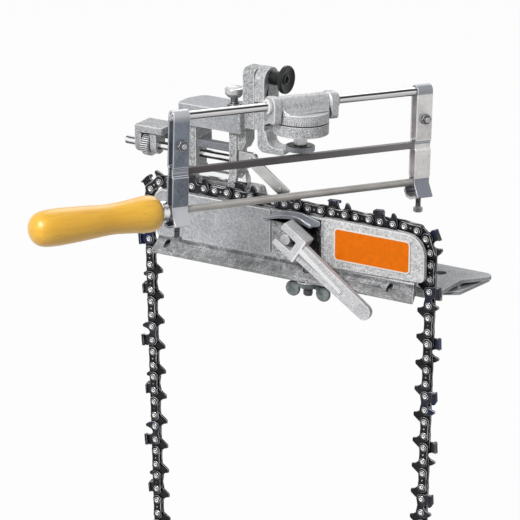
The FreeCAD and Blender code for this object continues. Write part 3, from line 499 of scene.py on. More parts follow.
def zincStrip(name, colour, wear, rough, bend, crown, groove, grooveShare):
    # zinc-plated strip whose bends, foot and groove are painted another colour than its long face, as a
    # painted reflection
    finish = Finish(name)
    own = finish.along()
    spangle = finish.noise(520, 3.0, 0.6)
    cloud = finish.noise(55, 2.0, 0.5)
    tone = finish.spread(spangle) * 0.4 + finish.spread(cloud, (0.35, 0.65)) * 0.6
    rubs = finish.streaks(own, (900, 900, 60), 4.0, 0.7)
    height = finish.axis("Z", own)
    bendReflections = (finish.inside(stripFoot, own) + finish.spread(height, metres(crown), (0.0, 0.9))
             + finish.spread(abs(height - groove * mm), metres(grooveHalf), (grooveShare, 0.0)))
    shown = finish.layers(shade(colour, 1 - wear), (tone, 1, shade(colour, 1 + wear)),
                          (finish.spread(rubs, (0.55, 0.7)), 0.3, shade(colour, 1.5)),
                          (bendReflections, 0.8, bend), (finish.edge(), 0.65, (0.86, 0.87, 0.89)))
    finish.surface(shown, 0.55, (cloud, rough * 0.8, rough * 1.25), (spangle, 0.00015, 0.5))


blackSet = {
    # finish: colour, roughness, how metallic, colour of the corners (worn, and partly a painted
    # highlight) and share of heat-blued patches
    "darkIron": ((0.15, 0.175, 0.175), 0.6, 0.3),
    "scaleLines": ((0.16, 0.16, 0.165), 0.5, 0.2),
    "chainSteel": ((0.010, 0.010, 0.012), 0.34, 0.3, (0.75, 0.75, 0.76)),
    "cutterSteel": ((0.022, 0.023, 0.028), 0.3, 0.45, (0.72, 0.72, 0.74), 0.85),
}


def blackenedSteel(name, colour, rough, metallic, worn=(0.26, 0.26, 0.27), blue=0.0):
    finish = Finish(name)
    oil = finish.noise(160, 4.0, 0.6)
    patches = finish.noise(28, 2.0, 0.5)
    # corners painted lighter, partly as wear and partly as a painted highlight
    rubbed = finish.edge() * finish.spread(oil, (0.4, 0.6), (0.15, 0.85))
    shown = finish.layers(shade(colour, 0.45), (finish.spread(oil, (0.35, 0.65)), 1, shade(colour, 1.8)),
                          (finish.spread(patches, (0.54, 0.6)), blue, (0.010, 0.019, 0.068)),
                          (rubbed, 1, worn))
    finish.surface(shown, metallic, (oil, rough * 0.7, rough * 1.5),
                   (finish.noise(1400, 2.0, 0.5), 0.0001, 0.5), specular=0.25)


def spunRivets(name):
    # bright rolled-over rims, partly wear and partly a painted highlight, round a dark hollow
    finish = Finish(name)
    smear = finish.noise(500, 2.0, 0.5)
    shown = finish.layers((0.02, 0.02, 0.023), (finish.edge(), 1, (0.9, 0.9, 0.91)),
                          (finish.spread(smear, (0.45, 0.6)), 0.3, 0.1))
    finish.surface(shown, 0.2, (smear, 0.18, 0.34))


fileSet = {
    # finish: colour, tooth pitch, slant of the teeth and how pale the far end is
    "flatFile": ((0.085, 0.077, 0.082), 0.9, 0.6, 0.8),
    "roundFile": ((0.42, 0.405, 0.385), 0.8, 0.5, 0.0),
}


def cutFile(name, colour, pitch, slant, pale):
    # rows of fine teeth across the file, which grows paler towards its far end
    finish = Finish(name)
    own = finish.along()
    rows = finish.add("ShaderNodeTexWave", {"bands_direction": "X"},
                      {"Vector": finish.mapped(own, (1 / (pitch * mm), slant / (pitch * mm), 0)),
                       "Scale": 0.314, "Distortion": 0.4, "Detail": 1.0})
    worn = finish.noise(40, 3.0, 0.5)
    tone = finish.spread(rows, (0.0, 1.0), (0.25, 0.75)) + (worn - 0.5) * 0.8
    outer = finish.spread(finish.axis("X", own), metres((-20.0, 90.0)))
    shown = finish.layers(shade(colour, 0.5), (tone, 1, shade(colour, 1.45)),
                          (outer, pale, (0.26, 0.25, 0.25)))
    finish.surface(shown, 0.6, (worn, 0.3, 0.5), (rows, 0.0002, 0.8))


# Plastic, wood and the badge

plasticSet = {
    # finish: colour and roughness
    "blackPlastic": ((0.009, 0.012, 0.012), 0.3),
    "whitePlastic": ((0.80, 0.79, 0.79), 0.4),
}


def mouldedPlastic(name, colour, rough):
    finish = Finish(name)
    grain = finish.noise(1500, 2.0, 0.5)
    smear = finish.noise(90, 3.0, 0.6)
    shown = finish.layers(shade(colour, 0.8), (smear, 1, shade(colour, 1.25)),
                          # painted highlight: rounded corners and marked rim bands lighter
                          (finish.edge(), 0.3, shade(colour, 4.0)))
    finish.surface(shown, 0.0, (smear, rough * 0.8, rough * 1.3), (grain, 0.00008, 0.4), specular=0.3)


def varnishedBeech(name):
    finish = Finish(name)
    own = finish.along()
    grain = finish.streaks(own, (14, 210, 210), 4.0, 0.6)
    flecks = finish.streaks(own, (60, 900, 900))
    tone = finish.spread(grain) * 0.55 + finish.spread(finish.streaks(own, (16, 34, 34))) * 0.45
    colour = finish.layers((0.80, 0.39, 0.018), (tone, 1, (0.97, 0.58, 0.055)),
                           (finish.spread(flecks, (0.62, 0.72)), 0.35, (0.34, 0.14, 0.016)))
    finish.surface(colour, 0.0, (grain, 0.34, 0.46), (flecks, 0.0001, 0.35), coat=0.6, coatRough=0.28)


badgeSet = {
    "node": "badge_plate",
    "border": 1.05,
    "cornerRadius": 3.4,
    "orange": (0.80, 0.165, 0.001),
    "paleEdge": (0.80, 0.78, 0.72),
}


def badgePrint(name):
    # an orange field inside a pale border, measured from the plate's own outline
    finish = Finish(name)
    radius = badgeSet["cornerRadius"] * mm
    squares = []
    for letter, low, high in zip("XYZ", *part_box(badgeSet["node"])):
        if letter != "Y":
            off = abs(finish.axis(letter) - (high + low) / 2)
            past = finish.maths("MAXIMUM", off - ((high - low) / 2 - radius), 0.0)
            squares.append(past * past)
    field = finish.maths("SQRT", squares[0] + squares[1]) < radius - badgeSet["border"] * mm
    ink = finish.noise(260, 2.0, 0.5)
    scuffs = finish.spread(finish.streaks(finish.where(), (90, 90, 700), 3.0, 0.7), (0.66, 0.75))
    orange = finish.layers(shade(badgeSet["orange"], 0.93),
                           (finish.spread(ink), 1, shade(badgeSet["orange"], 1.06)),
                           (scuffs, 0.25, (0.9, 0.42, 0.14)))
    finish.surface(finish.mix(field, badgeSet["paleEdge"], orange), 0.0, (ink, 0.3, 0.42),
                   (ink, 0.00004, 0.3), specular=0.12)


for make, looks in ((castAluminium, castings), (polishedRod, paintedReflectionSet), (zincStrip, stripSet)):
    for name, look in looks.items():
        make(name, **look)
for make, looks in ((brushedSteel, steelSet), (blackenedSteel, blackSet), (cutFile, fileSet),
                    (mouldedPlastic, plasticSet)):
    for name, look in looks.items():
        make(name, *look)
leverCasting("leverAlloy")
knurledRim("knurledRim")
spunRivets("rivetSteel")
varnishedBeech("handleWood")
badgePrint("badgePrint")
print("finishes made:", len(finishes))


# Meshes

roundingSet = {
    "sharpAngle": 38.0,
    "room": 0.46,           # share of a neighbouring edge that a rounding may take up
    "slope": 0.35,          # neighbours nearly in line with the edge leave it free
    "flatness": 0.04,
    "manyCorners": 8,
    "weld": 0.002,
    "flatAngle": 0.7,
}


def meshOf(form, name="form"):
    mesh = bpy.data.meshes.new(name)
    form.to_mesh(mesh)
    form.free()
    return mesh


def evaluated(source, *modifiers):
    # runs modifiers, given as (type, settings), on a mesh or curve and returns the plain mesh
    holder = bpy.data.objects.new("holder", source)
    scene.collection.objects.link(holder)
    for kind, settings in modifiers:
        modifier = holder.modifiers.new(kind, kind)
        for key, value in settings.items():
            if hasattr(modifier, key):
                setattr(modifier, key, value)
            else:
                modifier[key] = value       # a tree's input, by its identifier
    bpy.context.view_layer.update()
    result = bpy.data.meshes.new_from_object(holder.evaluated_get(bpy.context.evaluated_depsgraph_get()))
    bpy.data.objects.remove(holder)
    return result


def smoothed(mesh, sharpAngle=roundingSet["sharpAngle"]):
    # smooth faces with sharp edges kept, and normals that follow the large flat faces
    mesh.polygons.foreach_set("use_smooth", [True] * len(mesh.polygons))
    mesh.set_sharp_from_angle(angle=math.radians(sharpAngle))
    return evaluated(mesh, ("WEIGHTED_NORMAL", {"keep_sharp": True, "weight": 50}))


def roundingShares(mesh, width):
    # how much of the full width each sharp edge can take before it meets its neighbours
    form = bmesh.new()
    form.from_mesh(mesh)
    form.edges.ensure_lookup_table()
    shares = [0.0] * len(form.edges)
    for edge in form.edges:
        if len(edge.link_faces) != 2 or edge.calc_face_angle() < math.radians(roundingSet["sharpAngle"]):
            continue
        room = width
        for loop in edge.link_loops:
            along = (loop.link_loop_next.vert.co - loop.vert.co).normalized()
            for side in (loop.link_loop_prev.edge, loop.link_loop_next.edge):
                across = side.verts[1].co - side.verts[0].co
                slope = across.normalized().cross(along).length
                if slope > roundingSet["slope"]:
                    room = min(room, roundingSet["room"] * across.length * slope)
        shares[edge.index] = room / width
    form.free()
    return shares


def rounded(mesh, width, segments=2):
    # rounds the sharp corners and marks the new faces with "edge"
    mesh.materials.clear()
    mesh.materials.append(None)
    mesh.materials.append(None)
    weights = mesh.attributes.new("bevel_weight_edge", "FLOAT", "EDGE")
    weights.data.foreach_set("value", roundingShares(mesh, width * mm))
    soft = evaluated(mesh, ("BEVEL", {"width": width * mm, "segments": segments, "limit_method": "WEIGHT",
                                      "use_clamp_overlap": False, "material": 1}))
    # a corner that shot past the old surface goes back onto it
    skin = BVHTree.FromPolygons([vertex.co for vertex in mesh.vertices],
                                [polygon.vertices for polygon in mesh.polygons])
    for vertex in soft.vertices:
        spot, _, _, distance = skin.find_nearest(vertex.co)
        if distance > width * mm:
            vertex.co = spot
    # and a corner pulled out of a large flat face goes back into it
    for polygon in soft.polygons:
        heights = [soft.vertices[index].co.dot(polygon.normal) for index in polygon.vertices]
        middle = sorted(heights)[len(heights) // 2]
        flat = sum(abs(height - middle) < roundingSet["flatness"] * mm for height in heights)
        if len(heights) > roundingSet["manyCorners"] and flat >= len(heights) - 2:
            for index, height in zip(polygon.vertices, heights):
                soft.vertices[index].co -= polygon.normal * (height - middle)
    marks = [float(polygon.material_index) for polygon in soft.polygons]
    soft.attributes.new("edge", "FLOAT", "FACE").data.foreach_set("value", marks)
    soft.polygons.foreach_set("material_index", [0] * len(marks))
    return soft


def merged(node):
    # a CAD node's surface as one mesh, with its corners merged and its flat faces joined
    form = bmesh.new()
    form.from_mesh(nodes[node].data)
    bmesh.ops.remove_doubles(form, verts=form.verts[:], dist=roundingSet["weld"] * mm)
    bmesh.ops.dissolve_limit(form, angle_limit=math.radians(roundingSet["flatAngle"]),
                             verts=form.verts[:], edges=form.edges[:], delimit={"NORMAL"})
    return meshOf(form)


def place(name, mesh, finish, slotName, node, stands=True):
    # a finished piece has its place in its mesh, rides with a node and mostly stands for it
    mesh.materials.clear()
    mesh.materials.append(finishes[finish])
    piece = bpy.data.objects.new(name, mesh)
    scene.collection.objects.link(piece)
    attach(piece, nodes[node]["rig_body"])
    if stands:
        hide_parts(node)


def setAlong(mesh, axes):
    # stores each corner's place in a piece's own axes, for grain and teeth that follow it
    home = axes.inverted()
    attribute = mesh.attributes.new("along", "FLOAT_VECTOR", "POINT")
    for index, vertex in enumerate(mesh.vertices):
        attribute.data[index].vector = home @ vertex.co


# The file guide's own axes: X along the guide rod and Z up the swivel axis
guideSet = {
    "origin": (-30.1, -50.603, 129.288),
    "tilt": -2.65,
    "yaw": 60.0,
    "handle": (-100.8, 0, -65.0),       # where the round file ends in its handle
    "handleDroop": 1.3,
}
guideFrame = shift(*guideSet["origin"]) @ turn(guideSet["tilt"], "X") @ turn(guideSet["yaw"], "Z")
handleFrame = guideFrame @ shift(*guideSet["handle"]) @ turn(-guideSet["handleDroop"], "Y")
leverFrame = shift(-36.2, -61.4, 33.8) @ turn(34, "Y")
spindleFrame = shift(0, -20.0, 70.1)

# Pieces that keep the fixture's own outlines, with their edges rounded

roundedSet = {
    # node: (finish, slot, edge radius)
    "base_casting": ("baseCasting", "cast_aluminium", 0.55),
    "head_casting": ("headCasting", "cast_aluminium", 0.6),
    "tilt_arm": ("armCasting", "cast_aluminium", 0.6),
    "sleeve_housing": ("sleeveCasting", "cast_aluminium", 0.5),
    "badge_plate": ("badgePrint", "badge", 0.12),
    "guide_bar": ("guideBar", "bright_steel", 0.4),
    "lever_pin": ("brightSteel", "bright_steel", 0.3),
    "stud_washer": ("brightSteel", "bright_steel", 0.15),
    "cam_lever": ("leverAlloy", "lever_alloy", 0.4),
    "clamp_leaf": ("bladeSteel", "spring_steel", 0.25),
    "pivot_bolt": ("brightSteel", "bright_steel", 0.3),
    "clamp_collar": ("threads", "bright_steel", 0.3),
    "stop_spindle": ("spindle", "bright_steel", 0.4),
    "adjusting_wheel": ("knurledRim", "dark_iron", 0.3),
    "stop_arm": ("brightSteel", "spring_steel", 0.3),
    "pawl_pin": ("brightSteel", "bright_steel", 0.25),
    "stop_pawl": ("springSteel", "strip_steel", 0.25),
    "pawl_rivet": ("brightSteel", "bright_steel", 0.2),
    "swivel_bolt": ("brightSteel", "bright_steel", 0.3),
    "guide_bushings": ("whitePlastic", "white_plastic", 0.4),
    "guide_rod": ("chromedRod", "chromed_rod", 0.4),
    "front_bracket": ("frontStrip", "strip_steel", 0.25),
    "rear_bracket": ("stripSteel", "strip_steel", 0.25),
    "bracket_bolts": ("brightSteel", "bright_steel", 0.2),
    "bracket_nuts": ("threads", "bright_steel", 0.3),
    "handle_ferrule": ("ferrule", "bright_steel", 0.3),
    "flat_file": ("flatFile", "file_steel", 0.3),
    "round_file": ("roundFile", "file_steel", 0.2),
}
ownAxes = {"guide_bar": shift(0, -20.0, 54.5), "stop_spindle": spindleFrame,
           "adjusting_wheel": spindleFrame, "handle_ferrule": handleFrame, "cam_lever": leverFrame}
for node in ("flat_file", "round_file", "guide_rod", "front_bracket", "rear_bracket", "sleeve_housing",
             "tilt_arm"):
    ownAxes[node] = guideFrame

for node, (finish, slotName, edge) in roundedSet.items():
    mesh = smoothed(rounded(merged(node), edge))
    if node in ownAxes:
        setAlong(mesh, ownAxes[node])
    first, *rest = node.split("_")
    place(first + "".join(word.capitalize() for word in rest), mesh, finish, slotName, node)
print("rounded pieces:", len(roundedSet))


# Wooden handle, turned on its own axis that droops a little from the file's

handleSet = {
    "profile": [(-6.7, 0.0), (-6.7, 8.6), (-9.4, 11.4), (-16.0, 12.5), (-29.0, 11.3), (-43.0, 10.4),
                (-62.0, 11.6), (-83.0, 12.5), (-94.5, 11.3), (-100.0, 6.6), (-101.6, 0.0)],
    "sides": 64,
    "stations": 6,
    "sharpAngle": 50.0,
}


def smoothLine(points, stations):
    # Catmull-Rom curve through the points, with some stations between each pair
    line = []
    for i in range(len(points) - 1):
        before = points[max(i - 1, 0)]
        after = points[min(i + 2, len(points) - 1)]
        for step in range(stations):
            t = step / stations
            line.append(tuple(
                0.5 * (2 * b + (c - a) * t + (2 * a - 5 * b + 4 * c - d) * t * t
                       + (3 * b - a - 3 * c + d) * t ** 3)
                for a, b, c, d in zip(before, points[i], points[i + 1], after)))
    return line + [points[-1]]


def turned(profile, sides, axes, bright=()):
    # a solid of revolution about its own X axis, from (x, radius) in mm, closed at both poles;
    # the bands numbered in bright are marked with "edge"
    form = bmesh.new()
    rings = []
    for x, radius in profile:
        angles = [2 * math.pi * i / sides for i in range(sides if radius else 1)]
        rings.append([form.verts.new(axes @ point(x, radius * math.cos(a), radius * math.sin(a)))
                      for a in angles])
    mark = form.faces.layers.float.new("edge")
    for band, (first, second) in enumerate(zip(rings, rings[1:])):
        for i in range(sides):
            corners = [ring[k % len(ring)] for ring, k in ((first, i), (first, (i + 1) % sides),
                                                           (second, (i + 1) % sides), (second, i))]
            form.faces.new(list(dict.fromkeys(corners)))[mark] = float(band in bright)
    bmesh.ops.recalc_face_normals(form, faces=form.faces[:])
    return meshOf(form)


outline = handleSet["profile"][:1] + smoothLine(handleSet["profile"][1:], handleSet["stations"])
wood = smoothed(turned(outline, handleSet["sides"], handleFrame), handleSet["sharpAngle"])
setAlong(wood, handleFrame)
place("fileHandle", wood, "handleWood", "handle_wood", "file_handle")
print("handle turned")


def prism(*outlines):
    # a closed solid between two outlines with the same number of corners
    form = bmesh.new()
    near, far = [[form.verts.new(corner) for corner in outline] for outline in outlines]
    form.faces.new(near)
    form.faces.new(far[::-1])
    for i in range(len(near)):
        j = (i + 1) % len(near)
        form.faces.new([near[j], near[i], far[i], far[j]])
    bmesh.ops.recalc_face_normals(form, faces=form.faces[:])
    return meshOf(form)


def plate(outline, low, high):
    # a flat plate from an outline in X and Z, between two heights in Y
    return prism(*([point(x, y, z) for x, z in outline] for y in (low, high)))


def joined(meshes):
    # one mesh out of several, with their "edge" marks
    corners, faces, marks = [], [], []
    for mesh in meshes:
        first = len(corners)
        corners += [vertex.co.copy() for vertex in mesh.vertices]
        faces += [[first + index for index in polygon.vertices] for polygon in mesh.polygons]
        values = [0.0] * len(mesh.polygons)
        if "edge" in mesh.attributes:
            mesh.attributes["edge"].data.foreach_get("value", values)
        marks += values
    result = bpy.data.meshes.new("joined")
    result.from_pydata(corners, [], faces)
    result.attributes.new("edge", "FLOAT", "FACE").data.foreach_set("value", marks)
    return result


# What repeats or follows a path is grown by Geometry Nodes

class Plan:
    # a node tree with named inputs that ends in Realize Instances and Set Material
    def __init__(self, name, **inputs):
        self.tree = bpy.data.node_groups.new(name, "GeometryNodeTree")
        given = {"Geometry": "Geometry", **inputs, "Material": "Material"}
        for side, sockets in (("INPUT", given), ("OUTPUT", {"Geometry": "Geometry"})):
            for label, kind in sockets.items():
                self.tree.interface.new_socket(label, in_out=side, socket_type="NodeSocket" + kind)
        self.given = self.tree.nodes.new("NodeGroupInput").outputs

    # a node's output; a socket is named by its words, or by its number as in _0
    def node(self, kind, settings=None, out=0, **sockets):
        item = self.tree.nodes.new(kind)
        for key, value in (settings or {}).items():
            setattr(item, key, value)
        for key, value in sockets.items():
            target = item.inputs[int(key[1:]) if key[0] == "_" else key.replace("_", " ")]
            if isinstance(value, bpy.types.NodeSocket):
                self.tree.links.new(value, target)
            else:
                target.default_value = value
        return item.outputs[out]

    def maths(self, operation, *values):
        return self.node("ShaderNodeMath", {"operation": operation},
                         **{"_" + str(number): value for number, value in enumerate(values)})

    def close(self, geometry):
        real = self.node("GeometryNodeRealizeInstances", Geometry=geometry)
        painted = self.node("GeometryNodeSetMaterial", Geometry=real, Material=self.given["Material"])
        self.tree.links.new(painted, self.tree.nodes.new("NodeGroupOutput").inputs[0])
        return self.tree


def grown(tree, finish, base=None, **values):
    # the plain mesh that a tree makes from a base and its named inputs
    sockets = {item.name: item.identifier for item in tree.interface.items_tree if item.in_out == "INPUT"}
    values["Material"] = finishes[finish]
    given = {sockets[name]: value for name, value in values.items()}
    return evaluated(base or bpy.data.meshes.new("holder"), ("NODES", {"node_group": tree, **given}))


def threadTree():
    # a screw thread up the Z axis
    plan = Plan("screwThread", Radius="Float", Depth="Float", Pitch="Float", Length="Float")
    given, node = plan.given, plan.node
    path = node("GeometryNodeCurveSpiral", Resolution=16, Height=given["Length"],
                Rotations=plan.maths("DIVIDE", given["Length"], given["Pitch"]),
                Start_Radius=given["Radius"], End_Radius=given["Radius"])
    crest = node("GeometryNodeCurvePrimitiveCircle", Resolution=4, Radius=given["Depth"])
    return plan.close(node("GeometryNodeCurveToMesh", Curve=path, Profile_Curve=crest, Fill_Caps=True))


def ribTree():
    # upright ribs round the Z axis, Sweep radians from the first to the last
    plan = Plan("ribsRoundRim", Count="Int", Radius="Float", Tall="Float", Wide="Float", Start="Float",
                Sweep="Float", Corner="Float")
    given, node = plan.given, plan.node
    rim = node("GeometryNodeCurveArc", Resolution=given["Count"], Radius=given["Radius"],
               Start_Angle=given["Start"], Sweep_Angle=given["Sweep"])
    size = node("ShaderNodeCombineXYZ", X=given["Wide"], Y=given["Wide"], Z=given["Tall"])
    rib = node("GeometryNodeTransform", Geometry=node("GeometryNodeMeshCube", Size=size),
               Rotation=node("ShaderNodeCombineXYZ", Z=given["Corner"]))
    outward = node("FunctionNodeAlignRotationToVector", {"axis": "X", "pivot_axis": "Z"},
                   Vector=node("GeometryNodeInputPosition"))
    return plan.close(node("GeometryNodeInstanceOnPoints", Points=rim, Instance=rib, Rotation=outward))


threads = threadTree()
ribs = ribTree()
upright = turn(-90, "Y")        # a turned piece's X axis, pointing up
hanging = turn(90, "Y")         # and pointing down
sideways = turn(90, "Z")        # and pointing along Y
downward = turn(180, "X")       # a thread's or rib's Z axis, pointing down
crestShare = 0.42               # a thread's depth as a share of its pitch


def turnPiece(name, settings, axes):
    # a turned piece in place of its CAD node
    mesh = turned(settings["profile"], settings["sides"], axes, settings.get("bright", ()))
    place(name, smoothed(mesh, 30.0), settings["finish"], settings["slot"], settings["node"])


def threadOn(name, settings, axes):
    # a thread along the Z of some axes, its crests on the screw's own radius
    low, high = settings["thread"]
    depth = settings["pitch"] * crestShare
    mesh = grown(threads, "threads", Radius=(settings["radius"] - depth) * mm, Depth=depth * mm,
                 Pitch=settings["pitch"] * mm, Length=(high - low) * mm)
    mesh.transform(axes @ shift(0, 0, low))
    place(name, smoothed(mesh, 30.0), "threads", "bright_steel", settings["node"], False)


def ribsOn(name, settings, axes):
    # upright bars in a ring about the Z of some axes
    low, high = settings["span"]
    start, sweep, corner = (math.radians(settings[angle]) for angle in ("start", "sweep", "corner"))
    mesh = grown(ribs, settings["finish"], Count=settings["count"], Radius=settings["radius"] * mm,
                 Tall=(high - low) * mm, Wide=settings["wide"] * mm, Start=start, Sweep=sweep,
                 Corner=corner)
    mesh.transform(axes @ shift(0, 0, (low + high) / 2))
    place(name, mesh, settings["finish"], settings["slot"], settings["node"], False)


# Clamp screw on the head: flat round head over a cone

clampScrewSet = {
    "node": "thumb_screw", "finish": "brightSteel", "slot": "bright_steel",
    "axis": (-103.8, -19.2, 0),
    "profile": [(100.6, 0.0), (100.6, 2.4), (115.0, 2.4), (115.2, 4.6), (117.7, 6.7), (118.2, 6.8),
                (121.0, 6.8), (121.7, 6.3), (122.0, 5.4), (121.6, 4.6), (121.6, 0.0)],
    "sides": 40,
    "bright": (5, 7),       # bands of the profile that are rubbed bright
    "thread": (104.8, 114.6),
    "radius": 2.9,
    "pitch": 1.25,
}

# Stud under the beam

studSet = {
    "node": "clamp_stud", "finish": "threads", "slot": "bright_steel",
    "axis": (-25.8, -48.0, 0),
    "profile": [(-8.6, 0.0), (-8.6, 2.4), (-8.0, 2.95), (12.0, 2.95), (12.0, 0.0)],
    "sides": 32,
    "thread": (-8.0, 2.6),
    "radius": 3.5,
    "pitch": 1.25,
}
for name, settings in (("thumbScrew", clampScrewSet), ("clampStud", studSet)):
    axes = shift(*settings["axis"])
    turnPiece(name, settings, axes @ upright)
    threadOn(name + "Thread", settings, axes)

# Wing nut on the stud: a cone hub with two round ears

wingSet = {
    "hub": [(-2.8, 3.6), (-2.8, 5.5), (-2.3, 6.1), (0.6, 7.3), (0.8, 3.6), (-2.8, 3.6)],
    "ear": [(-1.6, 0.0), (-1.6, 4.4), (-1.25, 5.2), (-0.6, 5.5), (0.6, 5.5), (1.25, 5.2), (1.6, 4.4),
            (1.6, 0.0)],
    "earBright": (1, 2, 4, 5),
    "earPlace": (12.2, 0, -5.6),
    "arm": [(4.5, 0.4), (10.2, -0.4), (12.2, -4.6), (4.5, -2.6)],
    "armFaces": (-1.4, 1.4),
    "sides": 40,
}
wings = [turned(wingSet["hub"], wingSet["sides"], upright)]
for side in (-1, 1):
    reach, _, drop = wingSet["earPlace"]
    wings.append(turned(wingSet["ear"], wingSet["sides"], shift(side * reach, 0, drop) @ sideways,
                        wingSet["earBright"]))
    wings.append(plate([(side * x, z) for x, z in wingSet["arm"]], *wingSet["armFaces"]))
nut = joined(wings)
nut.transform(shift(*studSet["axis"]))
place("wingNut", smoothed(nut, 50.0), "darkIron", "dark_iron", "wing_nut")

# Two screws that clamp the round file in its brackets, with six-sided heads

fileScrewSet = {
    "node": "file_screws",
    "places": {"A": -93.2, "B": 95.4},
    "shank": [(68.0, 0.0), (68.0, 1.55), (84.0, 1.55), (84.0, 0.0)],
    "head": [(83.4, 0.0), (83.4, 2.9), (83.7, 3.3), (86.7, 3.3), (87.0, 2.9), (87.0, 0.0)],
    "headBright": (1, 3),
    "thread": (74.6, 83.3),
    "radius": 2.0,
    "pitch": 0.9,
}
screws = []
for letter, where in fileScrewSet["places"].items():
    axes = guideFrame @ shift(where, 0, 0)
    screws += [turned(fileScrewSet["shank"], 24, axes @ hanging),
               turned(fileScrewSet["head"], 6, axes @ hanging, fileScrewSet["headBright"])]
    threadOn("fileScrewThread" + letter, fileScrewSet, axes @ downward)
place("fileScrews", smoothed(joined(screws), 30.0), "rimSteel", "bright_steel", "file_screws")

# Tilt lock knob: a neck that flares into a dished rim

pivotKnobSet = {
    "node": "pivot_knob", "finish": "blackPlastic", "slot": "black_plastic",
    "axis": (0, -16.8, 132.8),
    "profile": [(-74.5, 0.0), (-74.5, 4.9), (-73.8, 5.0), (-68.6, 5.0), (-66.4, 6.2), (-64.9, 8.9),
                (-64.4, 9.7), (-63.6, 10.0), (-62.2, 10.0), (-61.5, 9.5), (-61.4, 9.0), (-62.2, 8.2),
                (-62.9, 6.0), (-63.1, 3.9), (-62.5, 3.5), (-62.4, 2.4), (-63.6, 1.9), (-63.6, 0.0)],
    "sides": 56,
    # the bright bands get painted highlight rings
    "bright": (8, 9, 14),
}
turnPiece("pivotKnob", pivotKnobSet, shift(*pivotKnobSet["axis"]))

# Swivel lock knob: a flat disc with a coin edge of square steel bars stood on their corners

lockKnobSet = {
    "node": "lock_knob", "finish": "blackPlastic", "slot": "black_plastic",
    "profile": [(29.0, 0.0), (29.0, 8.6), (29.5, 9.3), (32.7, 9.3), (33.2, 8.6), (33.2, 0.0)],
    "sides": 56,
    # the bright bands get painted highlights on the rim's chamfers
    "bright": (1, 3),
}
coinEdgeSet = {
    "node": "lock_knob", "finish": "rimSteel", "slot": "black_plastic",
    "count": 48, "radius": 9.361, "span": (29.3, 32.9), "wide": 0.9,
    "start": 0.0, "sweep": 352.5, "corner": 45.0,
}
turnPiece("lockKnob", lockKnobSet, guideFrame @ hanging)
ribsOn("lockKnobRim", coinEdgeSet, guideFrame @ downward)

# Angle marks on the side of the upper disc that faces the user

scaleSet = {
    "node": "sleeve_housing", "finish": "scaleLines", "slot": "cast_aluminium",
    "count": 31, "radius": 19.08, "span": (-11.6, -9.0), "wide": 0.34,
    "start": 127.0, "sweep": 150.0, "corner": 0.0,
}
ribsOn("angleMarks", scaleSet, guideFrame)
print("screws, knobs and marks made")


# Saw chain: links are repeated along the loop's line by Geometry Nodes

chainSet = {
    "pitch": 9.525,
    "linkOffset": 0.55,      # a drive link's rivets are this much closer than the pitch
    "phase": 33.0,           # distance of the first drive link from the left nose's centre
    "driveLinks": 56,
    "plate": 1.5,
    "gap": 0.05,
    "rivetRadius": 2.2,
    "rivetHalf": 3.0,
    "topLeft": (-148.0, -40.0, 52.0),
    "noseRadii": (14.0, 16.0),
    "railRun": 199.0,
    "bottomRadius": 109.0526,
    "rightDrop": 240.1496,
    "leftClimb": 242.1955,
    "lean": 1.3,
    "arcSteps": 32,
}


def loopPoints():
    # the rivets' line: along the rail, round the right nose, down, round the free bend and back up
    lean, quarter = math.radians(chainSet["lean"]), math.pi / 2
    leftRadius, rightRadius = chainSet["noseRadii"]
    points = [Vector(chainSet["topLeft"])]

    def line(distance, angle):
        points.append(points[-1] + Vector((math.cos(angle), 0, math.sin(angle))) * distance)

    def bend(radius, angle, through):
        # goes on from heading angle, turning clockwise
        centre = points[-1] + Vector((math.sin(angle), 0, -math.cos(angle))) * radius
        for step in range(1, chainSet["arcSteps"] + 1):
            heading = angle - through * step / chainSet["arcSteps"]
            points.append(centre + Vector((-math.sin(heading), 0, math.cos(heading))) * radius)

    line(chainSet["railRun"], 0)
    bend(rightRadius, 0, quarter + lean)
    line(chainSet["rightDrop"], -quarter - lean)
    bend(chainSet["bottomRadius"], -quarter - lean, math.pi - 2 * lean)
    line(chainSet["leftClimb"], -3 * quarter + lean)
    bend(leftRadius, -3 * quarter + lean, quarter + lean)
    return points[:-1]


def chainLine():
    curve = bpy.data.curves.new("chainLine", "CURVE")
    curve.dimensions = "3D"
    spline = curve.splines.new("POLY")
    loop = loopPoints()
    spline.points.add(len(loop) - 1)
    for target, spot in zip(spline.points, loop):
        target.co = (*(spot * mm), 1)
    spline.use_cyclic_u = True
    return curve


def linkTree():
    # links of one kind: Count of them, each from one rivet to the next, Step apart along the line
    plan = Plan("linksAlongLine", Link="Object", Count="Int", First="Float", Step="Float", Reach="Float")
    given, node = plan.given, plan.node
    near = plan.maths("MULTIPLY_ADD", node("GeometryNodeInputIndex"), given["Step"], given["First"])
    length = node("GeometryNodeCurveLength", Curve=given["Geometry"])
    # the line is closed, so a distance past its end starts again
    ends = [node("GeometryNodeSampleCurve", {"mode": "LENGTH"}, "Position", Curves=given["Geometry"],
                 Length=plan.maths("FLOORED_MODULO", distance, length))
            for distance in (near, plan.maths("ADD", near, given["Reach"]))]
    middle = node("ShaderNodeMix", {"data_type": "VECTOR"}, 1, _0=0.5, _4=ends[0], _5=ends[1])
    along = node("ShaderNodeVectorMath", {"operation": "SUBTRACT"}, _0=ends[1], _1=ends[0])
    heading = node("FunctionNodeAlignRotationToVector", {"axis": "X", "pivot_axis": "Y"}, Vector=along)
    links = node("GeometryNodeInstanceOnPoints", Rotation=heading,
                 Points=node("GeometryNodePoints", Count=given["Count"], Position=middle),
                 Instance=node("GeometryNodeObjectInfo", None, "Geometry", Object=given["Link"]))
    return plan.close(links)


half = (chainSet["pitch"] + chainSet["linkOffset"]) / 2
shortHalf = (chainSet["pitch"] - chainSet["linkOffset"]) / 2
inner = chainSet["plate"] / 2 + chainSet["gap"]
outer = inner + chainSet["plate"]


def sidePlate(outline, side, edge):
    return rounded(plate(outline, *sorted((side * inner, side * outer))), edge, 1)


